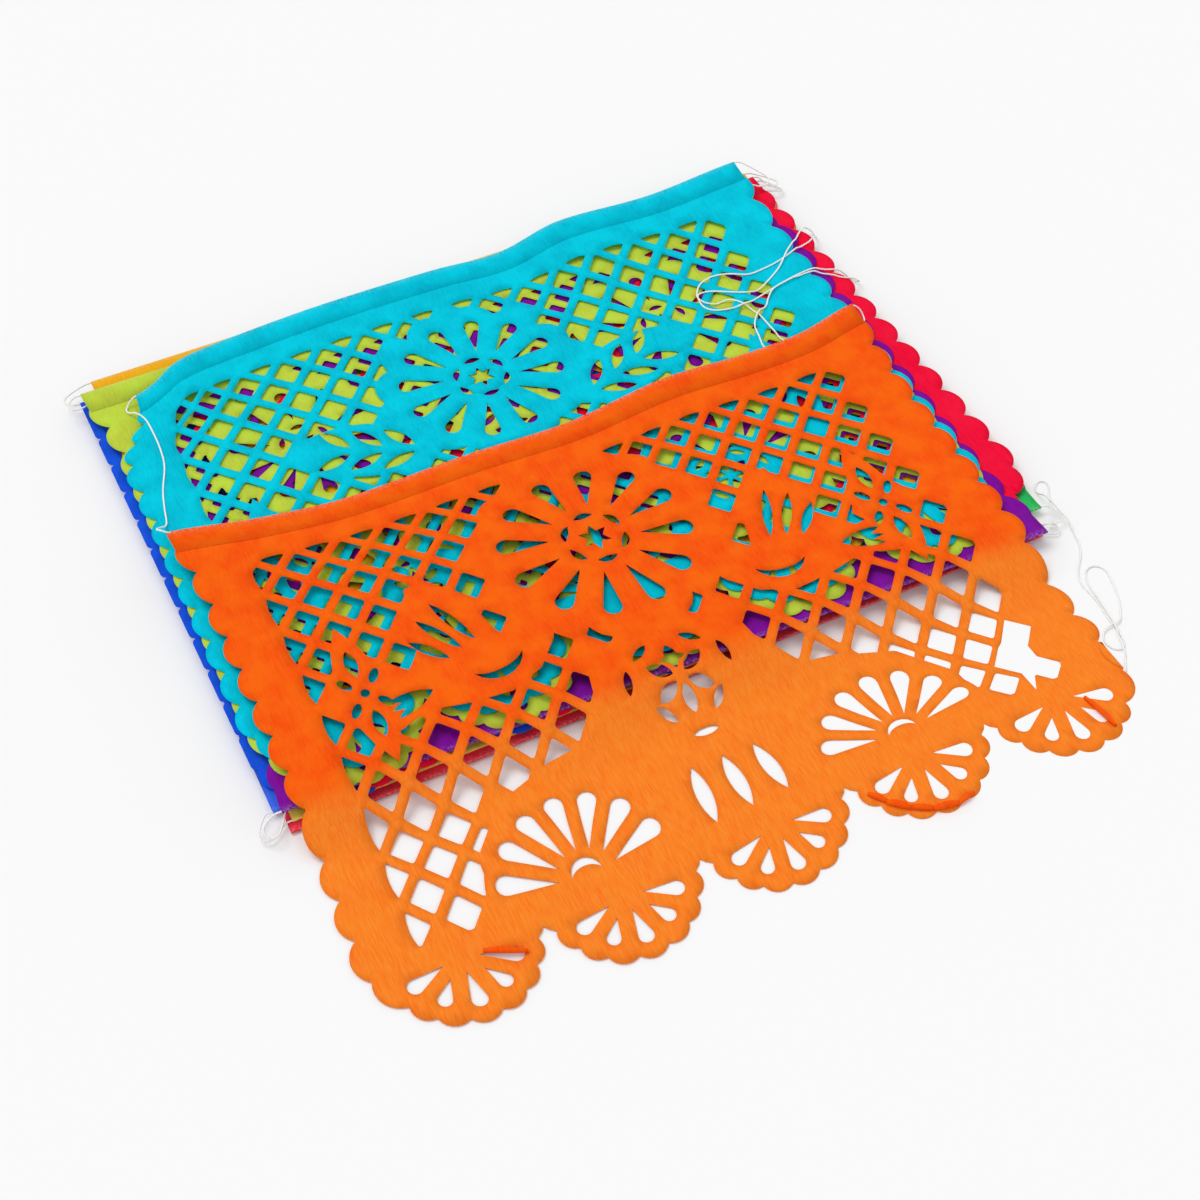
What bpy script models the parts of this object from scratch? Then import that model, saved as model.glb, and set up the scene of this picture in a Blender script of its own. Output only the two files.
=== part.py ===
"""Papel picado banner: twelve cut tissue-paper panels, stacked on a table, on cotton string.

Each panel is one sheet, folded over the string at its hem. The top panel is pulled forward, so
that its lower part hangs off the stack and lies on the table. Metres, +Z up, table at z = 0.
"""

import math

import bmesh
import bpy
from mathutils import Vector
from mathutils.bvhtree import BVHTree
from mathutils.geometry import delaunay_2d_cdt
from mathutils.kdtree import KDTree

MM = 0.001

# Paper and string
PAPER = 0.12 * MM
STRING = 1.1 * MM
STRING_PLAY = 0.08 * MM         # round the string in the hems of the stack
LOOSE_PLAY = 0.3 * MM           # round the string in the hems of the two top panels
LAYER_GAP = 0.3 * MM            # between a hem and the next sheet
TOP_LIFT = 1.3 * MM             # the top sheet rides over the loose string as well

# One panel, before it is folded and laid
PANEL_WIDTH = 457 * MM          # over the side scallops
PANEL_LENGTH = 345.5 * MM       # from the hem's fold to the tips of the tabs
HEM_END = 10 * MM               # straight end of the hem, above the first scallop
HEM_SETBACK = 2 * MM            # hem's end, inside the scallops' tips
FLAP = 13 * MM                  # glued flap of the hem
FLAP_REST = 0.25 * MM           # flap above the sheet, middle to middle
HEM_RAMP = 4 * MM               # stretch in which the sheet parts round the string
SIDE_SCALLOPS = 12
SCALLOP_RISE = 0.26             # rise of a scallop for each metre of its chord
TABS = 5
TAB_BUMPS = 7
TAB_DEPTH = 40 * MM             # from the last side scallop to the tabs' tips
LEDGE_DROP = 6 * MM             # from the last side scallop to the ledges between tabs
TAB_HALF = 36.3 * MM            # half width of a tab at its inner bumps
NOTCH_HALF = 5.1 * MM
NOTCH_RISE = 5.3 * MM

# Cut field and lattice
FIELD_SIDE = 194 * MM           # from the panel's middle to the field's side
FIELD_TOP = 35 * MM             # from the fold
FIELD_BOTTOM = 295 * MM
FIELD_CORNER = 9 * MM
CELL_WIDTH = 27.1 * MM
CELL_HEIGHT = 29.8 * MM
STRIP = 5.6 * MM                # paper strip between two cells
CELL_SHIFT_X = -166.5 * MM      # middle of one cell
CELL_SHIFT_Y = -77.4 * MM
LEAST_CELL = 0.30               # smallest share of a cell that is worth a cut

# Stack: the sheets' levels come from what a hem needs
HEM_RADIUS = STRING / 2 + STRING_PLAY + PAPER / 2
LOOSE_RADIUS = STRING / 2 + LOOSE_PLAY + PAPER / 2
LEVEL = HEM_RADIUS + PAPER + LAYER_GAP
FIRST_LEVEL = 2 * HEM_RADIUS + PAPER + LAYER_GAP + PAPER / 2
BOTTOM_LEVEL = PAPER / 2

# Overhang of the top panel, in the row's frame
DROP_START_Y = -107 * MM
DROP_END_Y = -150 * MM

# Hems of the two top panels: place along the hem, pull forward or back, lift
TOP_HEM_SHAPE = [
    (-226, -1, 6), (-176, -8, 3), (-126, -13, 0.5), (-76, -13, 0), (-26, -11, 1), (24, -12, 0.5),
    (74, -8, 2), (112, -4, 3), (150, -6, 1.5), (188, -4, 3), (226, 1, 6),
]
SECOND_HEM_SHAPE = [
    (-226, -33, 3), (-186, -20, 7), (-146, -9, 2), (-96, -4, 0.5), (-46, 2, 1.5), (4, -2, 0.5),
    (49, -3, 0), (94, 5, 3), (139, 1, 1), (184, 0, 0.5), (226, 5, 2),
]
SECOND_CORNER_PULL = 26 * MM    # bunching of the second hem's left end towards the middle
HEM_SHAPE_REACH = 95 * MM       # how far down the sheet the hem's shape fades out

# String: every route is in mm, (x, y, lift off what it lies on), before the stack is centred
STRING_SIDES = 2                # bevel steps of the tube
STRING_FALL = 0.8               # steepest fall of a loose stretch
STRING_GAP = 0.3 * MM           # under a loose stretch
TABLE_GAP = 0.2 * MM            # under a loose stretch on the table
REST_STEPS = 6                  # places looked at under each straight piece of a loose stretch
LINK_REACH = 7.5 * MM           # a link's loop, beyond the outer of its two mouths
LEFT_LINK = [(-226.5, 94, 0), (-219, 120, 0), (-206, 152, 0), (-205, 184, 0), (-212, 202, 0)]
LEADER = [(236, 86, 0), (234.5, 74, 0), (226, 66, 0), (204, 67, 0), (184, 80, 0), (180, 108, 0),
          (168, 133, 0), (153, 145, 0), (162, 159, 0), (200, 162, 0), (238, 169, 0), (258, 164, 0),
          (261, 145, 0), (240, 130, 0), (205, 137, 0), (178, 139, 1.0), (162, 131, 1.6), (160, 108, 0),
          (164, 86, 0), (152, 70, 0)]
TAIL = [(241, -107, 0), (252, -94, 0), (258, -78, 0), (270, -76, 0), (272, -92, 0), (259, -108, 0),
        (250, -128, 0), (241, -160, 0), (238, -186, 0), (242, -202, 0), (251, -200, 0), (247, -190, 0),
        (238.5, -192, 1.6), (234.8, -204, 0), (238, -220, 0)]

BACK, FRONT = 1, -1
STACK_SHIFT_X = -2.29 * MM
STACK_SHIFT_Y = -0.35 * MM

# Panels from the bottom: name, colour, hem side, middle of the hem in mm, turn in degrees, pattern
PANELS = [
    ("panel_salmon", (0.90, 0.16, 0.08), BACK, (8, 252), 1.0, "outline"),
    ("panel_rose", (0.80, 0.01, 0.06), FRONT, (1, -115), 1.0, "outline"),
    ("panel_yellow", (0.92, 0.66, 0.12), FRONT, (4, -109.5), 1.0, "outline"),
    ("panel_cobalt", (0.03, 0.10, 0.70), FRONT, (-2, -104), 1.0, "outline"),
    ("panel_green", (0.04, 0.42, 0.10), FRONT, (10, -98.5), 1.0, "outline"),
    ("panel_blue", (0.01, 0.06, 0.55), BACK, (-13, 232), 1.2, "outline"),
    ("panel_gold", (1.00, 0.42, 0.01), BACK, (0, 248.5), 1.0, "outline"),
    ("panel_crimson", (0.78, 0.00, 0.04), BACK, (13, 241.5), 0.8, "outline"),
    ("panel_purple", (0.20, 0.00, 0.32), FRONT, (3, -115), 1.0, "outline"),
    ("panel_lime", (0.55, 0.64, 0.04), BACK, (-9, 233), 0.8, "outline"),
    ("panel_turquoise", (0.00, 0.58, 0.74), BACK, (-6, 243), 0.8, "second"),
    ("panel_orange", (1.00, 0.13, 0.00), BACK, (4, 89), 0.0, "top"),
]

BACK_HEMS = (9, 7, 6, 5, 0)     # after the two top panels, from the right of the first
FRONT_HEMS = (8, 4, 3, 2, 1)


def shift(points, dx, dy, turn=0.0, mirror=False):
    """The outline turned, mirrored left to right if asked, and moved."""
    c, s = math.cos(turn), math.sin(turn)
    out = [(dx + c * x - s * y, dy + s * x + c * y) for x, y in points]
    if mirror:
        out = [(2 * dx - x, y) for x, y in out][::-1]
    return out


def arc(p, q, rise, steps):
    """Points after p up to q on an arc that bulges to the right of the way from p to q."""
    chord = math.dist(p, q)
    sagitta = rise * chord
    radius = (chord * chord / 4 + sagitta * sagitta) / (2 * sagitta)
    half = math.asin(min(1.0, chord / 2 / radius))
    ux, uy = (q[0] - p[0]) / chord, (q[1] - p[1]) / chord
    mx, my = (p[0] + q[0]) / 2, (p[1] + q[1]) / 2
    cx = mx - uy * (radius - sagitta)
    cy = my + ux * (radius - sagitta)
    out = []
    for i in range(1, steps):
        a = -half + 2 * half * i / steps
        out.append((cx + radius * (math.sin(a) * ux + math.cos(a) * uy),
                    cy + radius * (math.sin(a) * uy - math.cos(a) * ux)))
    return out + [q]


def ellipse(rx, ry, steps):
    return [(rx * math.cos(2 * math.pi * i / steps), ry * math.sin(2 * math.pi * i / steps))
            for i in range(steps)]


def teardrop(tip, end, radius, steps):
    """A petal from a point to a round end."""
    ax, ay = end[0] - tip[0], end[1] - tip[1]
    length = math.hypot(ax, ay)
    lean = math.acos(radius / length)
    along = math.atan2(ay, ax)
    first, last = along + math.pi - lean, along - math.pi + lean
    out = [tip]
    for i in range(steps + 1):
        a = last + (first - last) * i / steps
        out.append((end[0] + radius * math.cos(a), end[1] + radius * math.sin(a)))
    return out


def star(radius, points, waist):
    return [(radius * (1 if i % 2 == 0 else waist) * math.sin(math.pi * i / points),
             radius * (1 if i % 2 == 0 else waist) * math.cos(math.pi * i / points))
            for i in range(2 * points)]


def lobed(radius, lobes, rise, steps):
    """A round silhouette with a scalloped rim."""
    corners = [(radius * math.cos(2 * math.pi * i / lobes), radius * math.sin(2 * math.pi * i / lobes))
               for i in range(lobes + 1)]
    out = []
    for p, q in zip(corners, corners[1:]):
        out += arc(p, q, rise, steps)
    return out


def leaf(length, width, steps):
    """A pointed leaf along +Y from the origin."""
    side = arc((0, 0), (0, length), width / 2 / length, steps)
    return side + [(-x, y) for x, y in reversed(side[:-1])] + [(0, 0)]


def crescent(radius, span, width, steps):
    """A slit along an arc about the origin, widest in the middle; span is its half angle."""
    outer, inner = [], []
    for i in range(steps + 1):
        a = -span + 2 * span * i / steps
        swell = width / 2 * math.cos(a / span * math.pi / 2)
        outer.append(((radius + swell) * math.sin(a), (radius + swell) * math.cos(a)))
        inner.append(((radius - swell) * math.sin(a), (radius - swell) * math.cos(a)))
    return outer[::-1] + inner[1:-1]


def panel_outline(steps, tab_steps, flap_end):
    """The cut sheet, opened flat: x across, y = 0 at the fold, the flap above it."""
    side_end = PANEL_LENGTH - TAB_DEPTH
    pitch = (side_end - HEM_END) / SIDE_SCALLOPS
    cusp_x = PANEL_WIDTH / 2 - SCALLOP_RISE * pitch
    hem_x = PANEL_WIDTH / 2 - HEM_SETBACK
    ledge = -(side_end + LEDGE_DROP)
    tab_pitch = 2 * cusp_x / TABS
    inner = [180 + 180 * k / TAB_BUMPS for k in range(1, TAB_BUMPS)]
    chord = 2 * TAB_HALF * math.cos(math.radians(90 - 90 / TAB_BUMPS))
    tab_drop = (TAB_DEPTH - LEDGE_DROP - SCALLOP_RISE * chord) / math.cos(math.radians(90 / TAB_BUMPS))

    out = [(hem_x, flap_end), (-hem_x, flap_end), (-hem_x, -HEM_END + HEM_SETBACK)]
    out.append((-cusp_x, -HEM_END))
    for i in range(SIDE_SCALLOPS):
        out += arc((-cusp_x, -HEM_END - i * pitch), (-cusp_x, -HEM_END - (i + 1) * pitch),
                   SCALLOP_RISE, steps)
    for tab in range(TABS):
        middle = -cusp_x + (tab + 0.5) * tab_pitch
        cusps = [(middle + TAB_HALF * math.cos(math.radians(a)),
                  ledge + tab_drop * math.sin(math.radians(a))) for a in inner]
        last = (middle + tab_pitch / 2 - NOTCH_HALF, ledge)
        if tab == TABS - 1:
            last = (cusp_x, -side_end)
        for q in cusps + [last]:
            out += arc(out[-1], q, SCALLOP_RISE, tab_steps)
        if tab < TABS - 1:
            notch = middle + tab_pitch / 2
            out += [(notch - NOTCH_HALF / 3, ledge + NOTCH_RISE / 2), (notch, ledge + NOTCH_RISE),
                    (notch + NOTCH_HALF / 3, ledge + NOTCH_RISE / 2), (notch + NOTCH_HALF, ledge)]
    for i in range(SIDE_SCALLOPS):
        y = -side_end + i * pitch
        out += arc((cusp_x, y), (cusp_x, y + pitch), SCALLOP_RISE, steps)
    out.append((hem_x, -HEM_END + HEM_SETBACK))
    return out


def tab_petals(steps):
    """Five petals in each tab."""
    side_end = PANEL_LENGTH - TAB_DEPTH
    pitch = (side_end - HEM_END) / SIDE_SCALLOPS
    cusp_x = PANEL_WIDTH / 2 - SCALLOP_RISE * pitch
    ledge = -(side_end + LEDGE_DROP)
    half = [((9.3 * MM, 2 * MM), (26 * MM, -4 * MM), 4.3 * MM),
            ((9 * MM, -6 * MM), (15.5 * MM, -15.8 * MM), 3.8 * MM)]
    out = []
    for tab in range(TABS):
        middle = -cusp_x + (tab + 0.5) * 2 * cusp_x / TABS
        for tip, end, radius in half:
            petal = teardrop(tip, end, radius, steps)
            out += [shift(petal, middle, ledge), shift(petal, middle, ledge, mirror=True)]
        petal = teardrop((0, -4.8 * MM), (0, -21 * MM), 4.2 * MM, steps)
        out.append(shift(petal, middle, ledge))
    return out


def field_outline():
    top, bottom, side, cut = -FIELD_TOP, -FIELD_BOTTOM, FIELD_SIDE, FIELD_CORNER
    return [(-side, bottom), (side, bottom), (side, top - cut), (side - cut, top),
            (-side + cut, top), (-side, top - cut)]


def lattice():
    """Diamond cells over the whole field, in rows that step by half a cell."""
    slope = math.hypot(CELL_WIDTH, CELL_HEIGHT)
    half_x = CELL_WIDTH / 2 - STRIP / 2 * slope / CELL_HEIGHT
    half_y = CELL_HEIGHT / 2 - STRIP / 2 * slope / CELL_WIDTH
    cells = []
    rows = int(2 * FIELD_BOTTOM / CELL_HEIGHT) + 3
    columns = int(2 * FIELD_SIDE / CELL_WIDTH) + 3
    for row in range(rows):
        y = CELL_SHIFT_Y + 2 * CELL_HEIGHT - row * CELL_HEIGHT / 2
        for column in range(columns):
            x = CELL_SHIFT_X + (column - 2 + 0.5 * (row % 2)) * CELL_WIDTH
            if abs(x) < FIELD_SIDE + half_x and -FIELD_BOTTOM - half_y < y < -FIELD_TOP + half_y:
                cells.append([(x + half_x, y), (x, y + half_y), (x - half_x, y), (x, y - half_y)])
    return cells


def lattice_flower(steps):
    """A spindle of whole paper in the lattice, with a small flower cut in it."""
    solid = [(0, 49), (7, 35), (13, 14), (21, 0), (13, -14), (7, -35), (0, -49),
             (-7, -35), (-13, -14), (-21, 0), (-13, 14), (-7, 35)]
    solid = [(x * MM, y * MM) for x, y in solid][::-1]
    slits = [ellipse(2.6 * MM, 2.8 * MM, steps + 2)]
    petal = ellipse(2.6 * MM, 5.2 * MM, steps + 2)
    for sx, sy in ((1, 1), (-1, 1), (-1, -1), (1, -1)):
        slits.append(shift(petal, sx * 8.6 * MM, sy * 9.4 * MM, -sx * sy * 0.6))
    blade = leaf(19 * MM, 7.2 * MM, steps)
    slits += [shift(blade, 0, 12 * MM), shift(blade, 0, -12 * MM, math.pi)]
    return solid, slits


def big_flower(petals, radius, steps):
    """A large bloom: scalloped rim, a petal slit in each lobe, a ring and a star in the eye."""
    solids = [lobed(radius, petals, 0.32, steps)]
    slits = []
    for i in range(petals):
        a = 2 * math.pi * (i + 0.5) / petals
        petal = teardrop((0, 0.40 * radius), (0, 0.80 * radius), 0.085 * radius, steps)
        slits.append(shift(petal, 0, 0, a - math.pi / 2))
    for i in range(petals // 2):
        a = 4 * math.pi * i / petals
        slits.append(shift(crescent(0.27 * radius, 0.36, 0.07 * radius, steps), 0, 0, a))
    slits.append(star(0.15 * radius, 6, 0.5))
    return solids, slits


def heart(width, steps):
    """A heart of whole paper: a ring of dashes round a small flower."""
    rim, slits = [], []
    for i in range(20):
        t = 2 * math.pi * i / 20
        x = 16 * math.sin(t) ** 3
        y = 13 * math.cos(t) - 5 * math.cos(2 * t) - 2 * math.cos(3 * t) - math.cos(4 * t)
        rim.append((x * width / 32, y * width / 32))
        if i % 2:
            dash = shift(leaf(0.17 * width, 0.06 * width, steps), 0, -0.085 * width)
            slits.append(shift(dash, 0.74 * x * width / 32, 0.74 * y * width / 32, math.atan2(y, x)))
    for i in range(6):
        petal = shift(leaf(0.19 * width, 0.09 * width, steps), 0, 0.05 * width)
        slits.append(shift(petal, 0, 0.03 * width, math.pi * i / 3))
    return [rim], slits


def dove(size, steps):
    """A bird in flight to the right, seen from its side, with feathers cut in wing and tail."""
    rim = [(44, 6), (37, 13), (29, 14), (22, 9), (14, 9), (12, 26), (3, 42), (-9, 53), (-11, 44), (-18, 42),
           (-16, 33), (-23, 30), (-19, 21), (-24, 16), (-17, 7), (-31, 6), (-49, 11), (-46, 3), (-53, -2),
           (-46, -6), (-49, -13), (-31, -9), (-14, -15), (4, -19), (20, -15), (32, -5), (38, 3)]
    slits = []
    for x, y, length, turn in ((4, 12, 28, 0.28), (-3, 11, 25, 0.42), (-10, 9, 20, 0.6)):
        slits.append(shift(leaf(length, 4.6, steps), x, y, turn))
    for turn in (1.38, 1.62, 1.86):
        slits.append(shift(leaf(20, 4.4, steps), -24, -1, turn))
    slits.append(shift(crescent(15, 0.9, 4.4, steps), 6, 6, math.pi))
    scale = size / 97
    return [[(scale * x, scale * y) for x, y in rim]], [[(scale * x, scale * y) for x, y in p] for p in slits]


def fan(radius, blades, steps):
    """A half bloom that stands on the line y = 0, with long blades cut in it."""
    rim = [(radius * math.cos(math.pi * i / 10), radius * math.sin(math.pi * i / 10)) for i in range(11)]
    slits = []
    for i in range(blades):
        a = math.pi * ((i + 0.5) / blades - 0.5) * 0.94
        blade = teardrop((0, 0.30 * radius), (0, 0.80 * radius), 0.098 * radius, steps)
        slits.append(shift(blade, 0, 0.02 * radius, a))
    slits.append(shift(crescent(0.17 * radius, 1.2, 0.08 * radius, steps), 0, 0.04 * radius))
    return [rim], slits


def side_leaf(length, steps):
    """A broad leaf of whole paper with a row of slits on each side of its midrib."""
    slits = []
    for i in range(3):
        blade = leaf(0.24 * length, 0.075 * length, steps)
        for side in (1, -1):
            slits.append(shift(blade, side * 0.03 * length, (0.2 + 0.2 * i) * length, -side * 0.62))
    return [leaf(length, 0.46 * length, steps + 2)], slits


def place(shape, x, y, turn=0.0, mirror=False):
    solids, slits = shape
    return ([shift(p, x * MM, y * MM, turn, mirror) for p in solids],
            [shift(p, x * MM, y * MM, turn, mirror) for p in slits])


def blank(points):
    """Whole paper that stands in the lattice behind a drawing of slits."""
    return [[(x * MM, y * MM) for x, y in points]], []


def top_motifs(steps):
    """A bloom over a heart in the middle, a dove over a fan on each side of them."""
    hill = [(-152, -302), (144, -302), (140, -262), (118, -236), (84, -226), (50, -222), (40, -176),
            (-48, -176), (-58, -222), (-92, -226), (-126, -236), (-148, -262)]
    groups = [
        blank(hill),
        place(big_flower(12, 66 * MM, steps), -4, -103),
        place(heart(80 * MM, steps), -4, -212),
        place(fan(54 * MM, 7, steps), -100, -294),
        place(fan(54 * MM, 7, steps), 92, -294),
    ]
    for x, mirror in ((-101, False), (93, True)):
        groups.append(place(dove(128 * MM, steps), x, -160, 0.12, mirror))
    for k in (-1, 0, 1):
        blade = leaf(34 * MM, 9 * MM, steps)
        groups.append(([], [shift(blade, (-4 + 22 * k) * MM, -292 * MM, 0.1 * k)]))
    return groups


def second_motifs(steps):
    """A bloom between two broad leaves; what the top panel hides is left whole."""
    hidden = [(-200, -300), (200, -300), (200, -166), (-200, -166)]
    groups = [
        blank(hidden),
        place(big_flower(12, 58 * MM, steps), -6, -104),
        place(side_leaf(96 * MM, steps), -48, -150, 1.2),
        place(side_leaf(96 * MM, steps), 36, -150, -1.2),
    ]
    return groups


def pattern(kind):
    """Solids that stand in the lattice, and slits cut whatever they lie on."""
    if kind == "outline":
        return [], [], False
    steps = 2
    groups = top_motifs(steps) if kind == "top" else second_motifs(steps)
    if kind == "top":
        for x, y in ((-167, -152), (164, -148)):
            solid, slits = lattice_flower(steps)
            groups.append(place(([solid], slits), x, y))
    solids = [p for g in groups for p in g[0]]
    slits = [p for g in groups for p in g[1]]
    if kind == "top":
        slits += tab_petals(steps)
    return solids, slits, True


def hem_profile(radius, on_top):
    """The folded sheet seen along the string: (distance along the sheet, y, z), y = 0 at the string.

    on_top sets the loop on a sheet that stays flat; otherwise it straddles the sheet's level.
    """
    centre = radius if on_top else 0.0
    rest = FLAP_REST
    path = [(-HEM_RAMP, 0.0), (0.0, centre - radius)]
    for i in range(1, 5):
        a = -math.pi / 2 + math.pi * i / 4
        path.append((radius * math.cos(a), centre + radius * math.sin(a)))
    path += [(-HEM_RAMP, rest), (-HEM_RAMP - FLAP, rest)]
    distance, out = -HEM_RAMP, []
    for i, (y, z) in enumerate(path):
        if i:
            distance += math.dist(path[i - 1], (y, z))
        out.append((distance, y, z))
    return out


def folded(profile, distance):
    """The place (y, z) of a point of the opened sheet once its hem is folded."""
    if distance <= profile[0][0]:
        return distance, 0.0
    for (d0, y0, z0), (d1, y1, z1) in zip(profile, profile[1:]):
        if distance <= d1 + 1e-7:
            t = (distance - d0) / (d1 - d0)
            return y0 + t * (y1 - y0), z0 + t * (z1 - z0)
    return profile[-1][1:]


def triangles_of(points, edges, faces, inside):
    """Constrained triangulation: vertices, triangles and the input faces that each lies in."""
    found = delaunay_2d_cdt([Vector(p) for p in points], edges, faces, inside, 1e-7)
    return found[0], found[2], found[5]


def area(points):
    return 0.5 * sum(a[0] * b[1] - b[0] * a[1] for a, b in zip(points, points[1:] + points[:1]))


def cut_paper(outline, solids, slits, cells):
    """The outline less the slits and less the lattice cells of the field that no solid covers."""
    shapes = [outline, field_outline(), *solids, *slits, *cells]
    points, faces = [], []
    for shape in shapes:
        shape = shape if area(shape) > 0 else shape[::-1]
        faces.append(list(range(len(points), len(points) + len(shape))))
        points += shape
    first_slit, first_cell = 2 + len(solids), 2 + len(solids) + len(slits)
    verts, tris, owners = triangles_of(points, [], faces, 1)
    open_area, open_tris = {}, []
    kept = []
    for tri, owner in zip(tris, owners):
        owner = set(owner)
        if 0 not in owner:
            continue
        if any(first_slit <= i < first_cell for i in owner):
            continue
        cell = [i for i in owner if i >= first_cell]
        if cell and 1 in owner and not any(2 <= i < first_slit for i in owner):
            open_tris.append((tri, cell[0]))
            open_area[cell[0]] = open_area.get(cell[0], 0.0) + abs(area([verts[i] for i in tri]))
        else:
            kept.append(tri)
    full = abs(area(cells[0])) if cells else 1.0
    kept += [tri for tri, cell in open_tris if open_area[cell] < LEAST_CELL * full]
    return verts, kept


def bendable(verts, tris, lines, spacing, clear):
    """The same sheet, cut again so that it can bend: creases, and inner points at a spacing."""
    count = {}
    for tri in tris:
        for a, b in zip(tri, tri[1:] + tri[:1]):
            key = (min(a, b), max(a, b))
            count[key] = count.get(key, 0) + 1
    rim = [key for key, n in count.items() if n == 1]
    used = sorted({i for key in rim for i in key})
    number = {old: new for new, old in enumerate(used)}
    points = [tuple(verts[i]) for i in used]
    edges = [(number[a], number[b]) for a, b in rim]
    for p, q in lines:
        edges.append((len(points), len(points) + 1))
        points += [p, q]
    paper = BVHTree.FromPolygons([(v[0], v[1], 0.0) for v in verts], tris)
    if spacing:
        near = KDTree(len(points))
        for i, p in enumerate(points):
            near.insert((p[0], p[1], 0.0), i)
        near.balance()
        half, rows = int(PANEL_WIDTH / 2 / spacing), int(PANEL_LENGTH / spacing)
        for i in range(-half, half + 1):
            for j in range(1, rows + 1):
                p = (i * spacing, -HEM_RAMP - j * spacing, 0.0)
                if near.find(p)[2] > clear and paper.ray_cast((p[0], p[1], 1), (0, 0, -1))[0]:
                    points.append(p[:2])
    flat, cut, _ = triangles_of(points, edges, [], 0)
    kept = []
    for tri in cut:
        x = sum(flat[i][0] for i in tri) / 3
        y = sum(flat[i][1] for i in tri) / 3
        small = abs(area([flat[i] for i in tri])) < 1e-12
        if not small and paper.ray_cast((x, y, 1), (0, 0, -1))[0]:
            kept.append(tri)
    return flat, kept


def smooth(t):
    t = min(1.0, max(0.0, t))
    return t * t * (3 - 2 * t)


def along(shape, x):
    """The pull and the lift of a hem at x, read from its list by straight lines."""
    x = x / MM
    if x <= shape[0][0]:
        return shape[0][1] * MM, shape[0][2] * MM
    for (x0, y0, z0), (x1, y1, z1) in zip(shape, shape[1:]):
        if x <= x1:
            t = (x - x0) / (x1 - x0)
            return (y0 + t * (y1 - y0)) * MM, (z0 + t * (z1 - z0)) * MM
    return shape[-1][1] * MM, shape[-1][2] * MM


def level(index):
    """Height of a sheet's middle in the stack."""
    if index == 0:
        return BOTTOM_LEVEL
    height = FIRST_LEVEL + (index - 1) * LEVEL
    return height + TOP_LIFT if index == len(PANELS) - 1 else height


def laid(index, x, y, z):
    """The place in the row's frame of a point of a folded panel."""
    _, _, side, (mid_x, mid_y), turn, kind = PANELS[index]
    fade = 1 - smooth(-y / HEM_SHAPE_REACH)
    lift = 0.0
    if kind in ("top", "second"):
        pull, lift = along(TOP_HEM_SHAPE if kind == "top" else SECOND_HEM_SHAPE, x)
        if kind == "second":
            left = smooth(-(x + 0.30 * PANEL_WIDTH) / (0.2 * PANEL_WIDTH))
            x += SECOND_CORNER_PULL * left * fade
        y += pull * fade
        lift *= fade
    a = math.radians(turn if side == BACK else turn + 180)
    px = mid_x * MM + STACK_SHIFT_X + math.cos(a) * x - math.sin(a) * y
    py = mid_y * MM + STACK_SHIFT_Y + math.sin(a) * x + math.cos(a) * y
    height = level(index) + z + lift
    if kind == "top":
        t = smooth((DROP_START_Y - py) / (DROP_START_Y - DROP_END_Y))
        height += (BOTTOM_LEVEL - level(index)) * t
    return px, py, height


def hem_columns(kind):
    shape = {"top": TOP_HEM_SHAPE, "second": SECOND_HEM_SHAPE}.get(kind, [])
    return [x * MM for x, _, _ in shape[1:-1]]


def panel_kind(index):
    kind = PANELS[index][5]
    return kind, (LOOSE_RADIUS if kind in ("top", "second") else HEM_RADIUS)


def make_panel(index, material, collection):
    name = PANELS[index][0]
    kind, radius = panel_kind(index)
    profile = hem_profile(radius, index == 0)
    steps, tab_steps = {"top": (3, 3), "second": (2, 1)}.get(kind, (2, 1))
    outline = panel_outline(steps, tab_steps, profile[-1][0])
    solids, slits, with_lattice = pattern(kind)
    verts, tris = cut_paper(outline, solids, slits, lattice() if with_lattice else [])
    hem_x = PANEL_WIDTH / 2 - HEM_SETBACK
    lines = [((-hem_x, d), (hem_x, d)) for d, _, _ in profile[:-1]]
    lines += [((x, -HEM_RAMP), (x, profile[-1][0])) for x in hem_columns(kind)]
    spacing = {"top": 34 * MM, "second": 34 * MM}.get(kind, 0)
    flat, cut = bendable(verts, tris, lines, spacing, 10 * MM)

    mesh = bpy.data.meshes.new(name)
    bm = bmesh.new()
    corners = []
    for x, d in flat:
        y, z = folded(profile, d)
        corners.append(bm.verts.new(laid(index, x, y, z)))
    for tri in cut:
        bm.faces.new([corners[i] for i in tri])
    loose = [v for v in bm.verts if not v.link_faces]
    bmesh.ops.delete(bm, geom=loose, context="VERTS")
    bm.to_mesh(mesh)
    bm.free()
    panel = bpy.data.objects.new(name, mesh)
    panel.data.materials.append(material)
    solid = panel.modifiers.new("paper thickness", "SOLIDIFY")
    solid.thickness = PAPER
    solid.offset = 0
    solid.use_even_offset = True
    collection.objects.link(panel)
    return panel


def hem_centre(index, x):
    """Middle of the hem's tunnel at x."""
    _, radius = panel_kind(index)
    return laid(index, x, 0.0, radius if index == 0 else 0.0)


def hem_run(index, from_right):
    """The string's points through one hem, from end to end."""
    kind, _ = panel_kind(index)
    end = PANEL_WIDTH / 2 - HEM_SETBACK
    run = [Vector(hem_centre(index, x)) for x in [-end] + hem_columns(kind) + [end]]
    return run[::-1] if (run[0].x < run[-1].x) == from_right else run


def link(start, end, side):
    """The bends of a link between two mouths at the same side; each keeps its own hem's level."""
    reach = max(side * start.x, side * end.x) + LINK_REACH
    first = Vector((side * reach, start.y + 0.25 * (end.y - start.y), start.z))
    second = Vector((side * reach, end.y - 0.25 * (end.y - start.y), end.z))
    return smooth_line([start, first, second, end])[2:-2]


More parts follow.
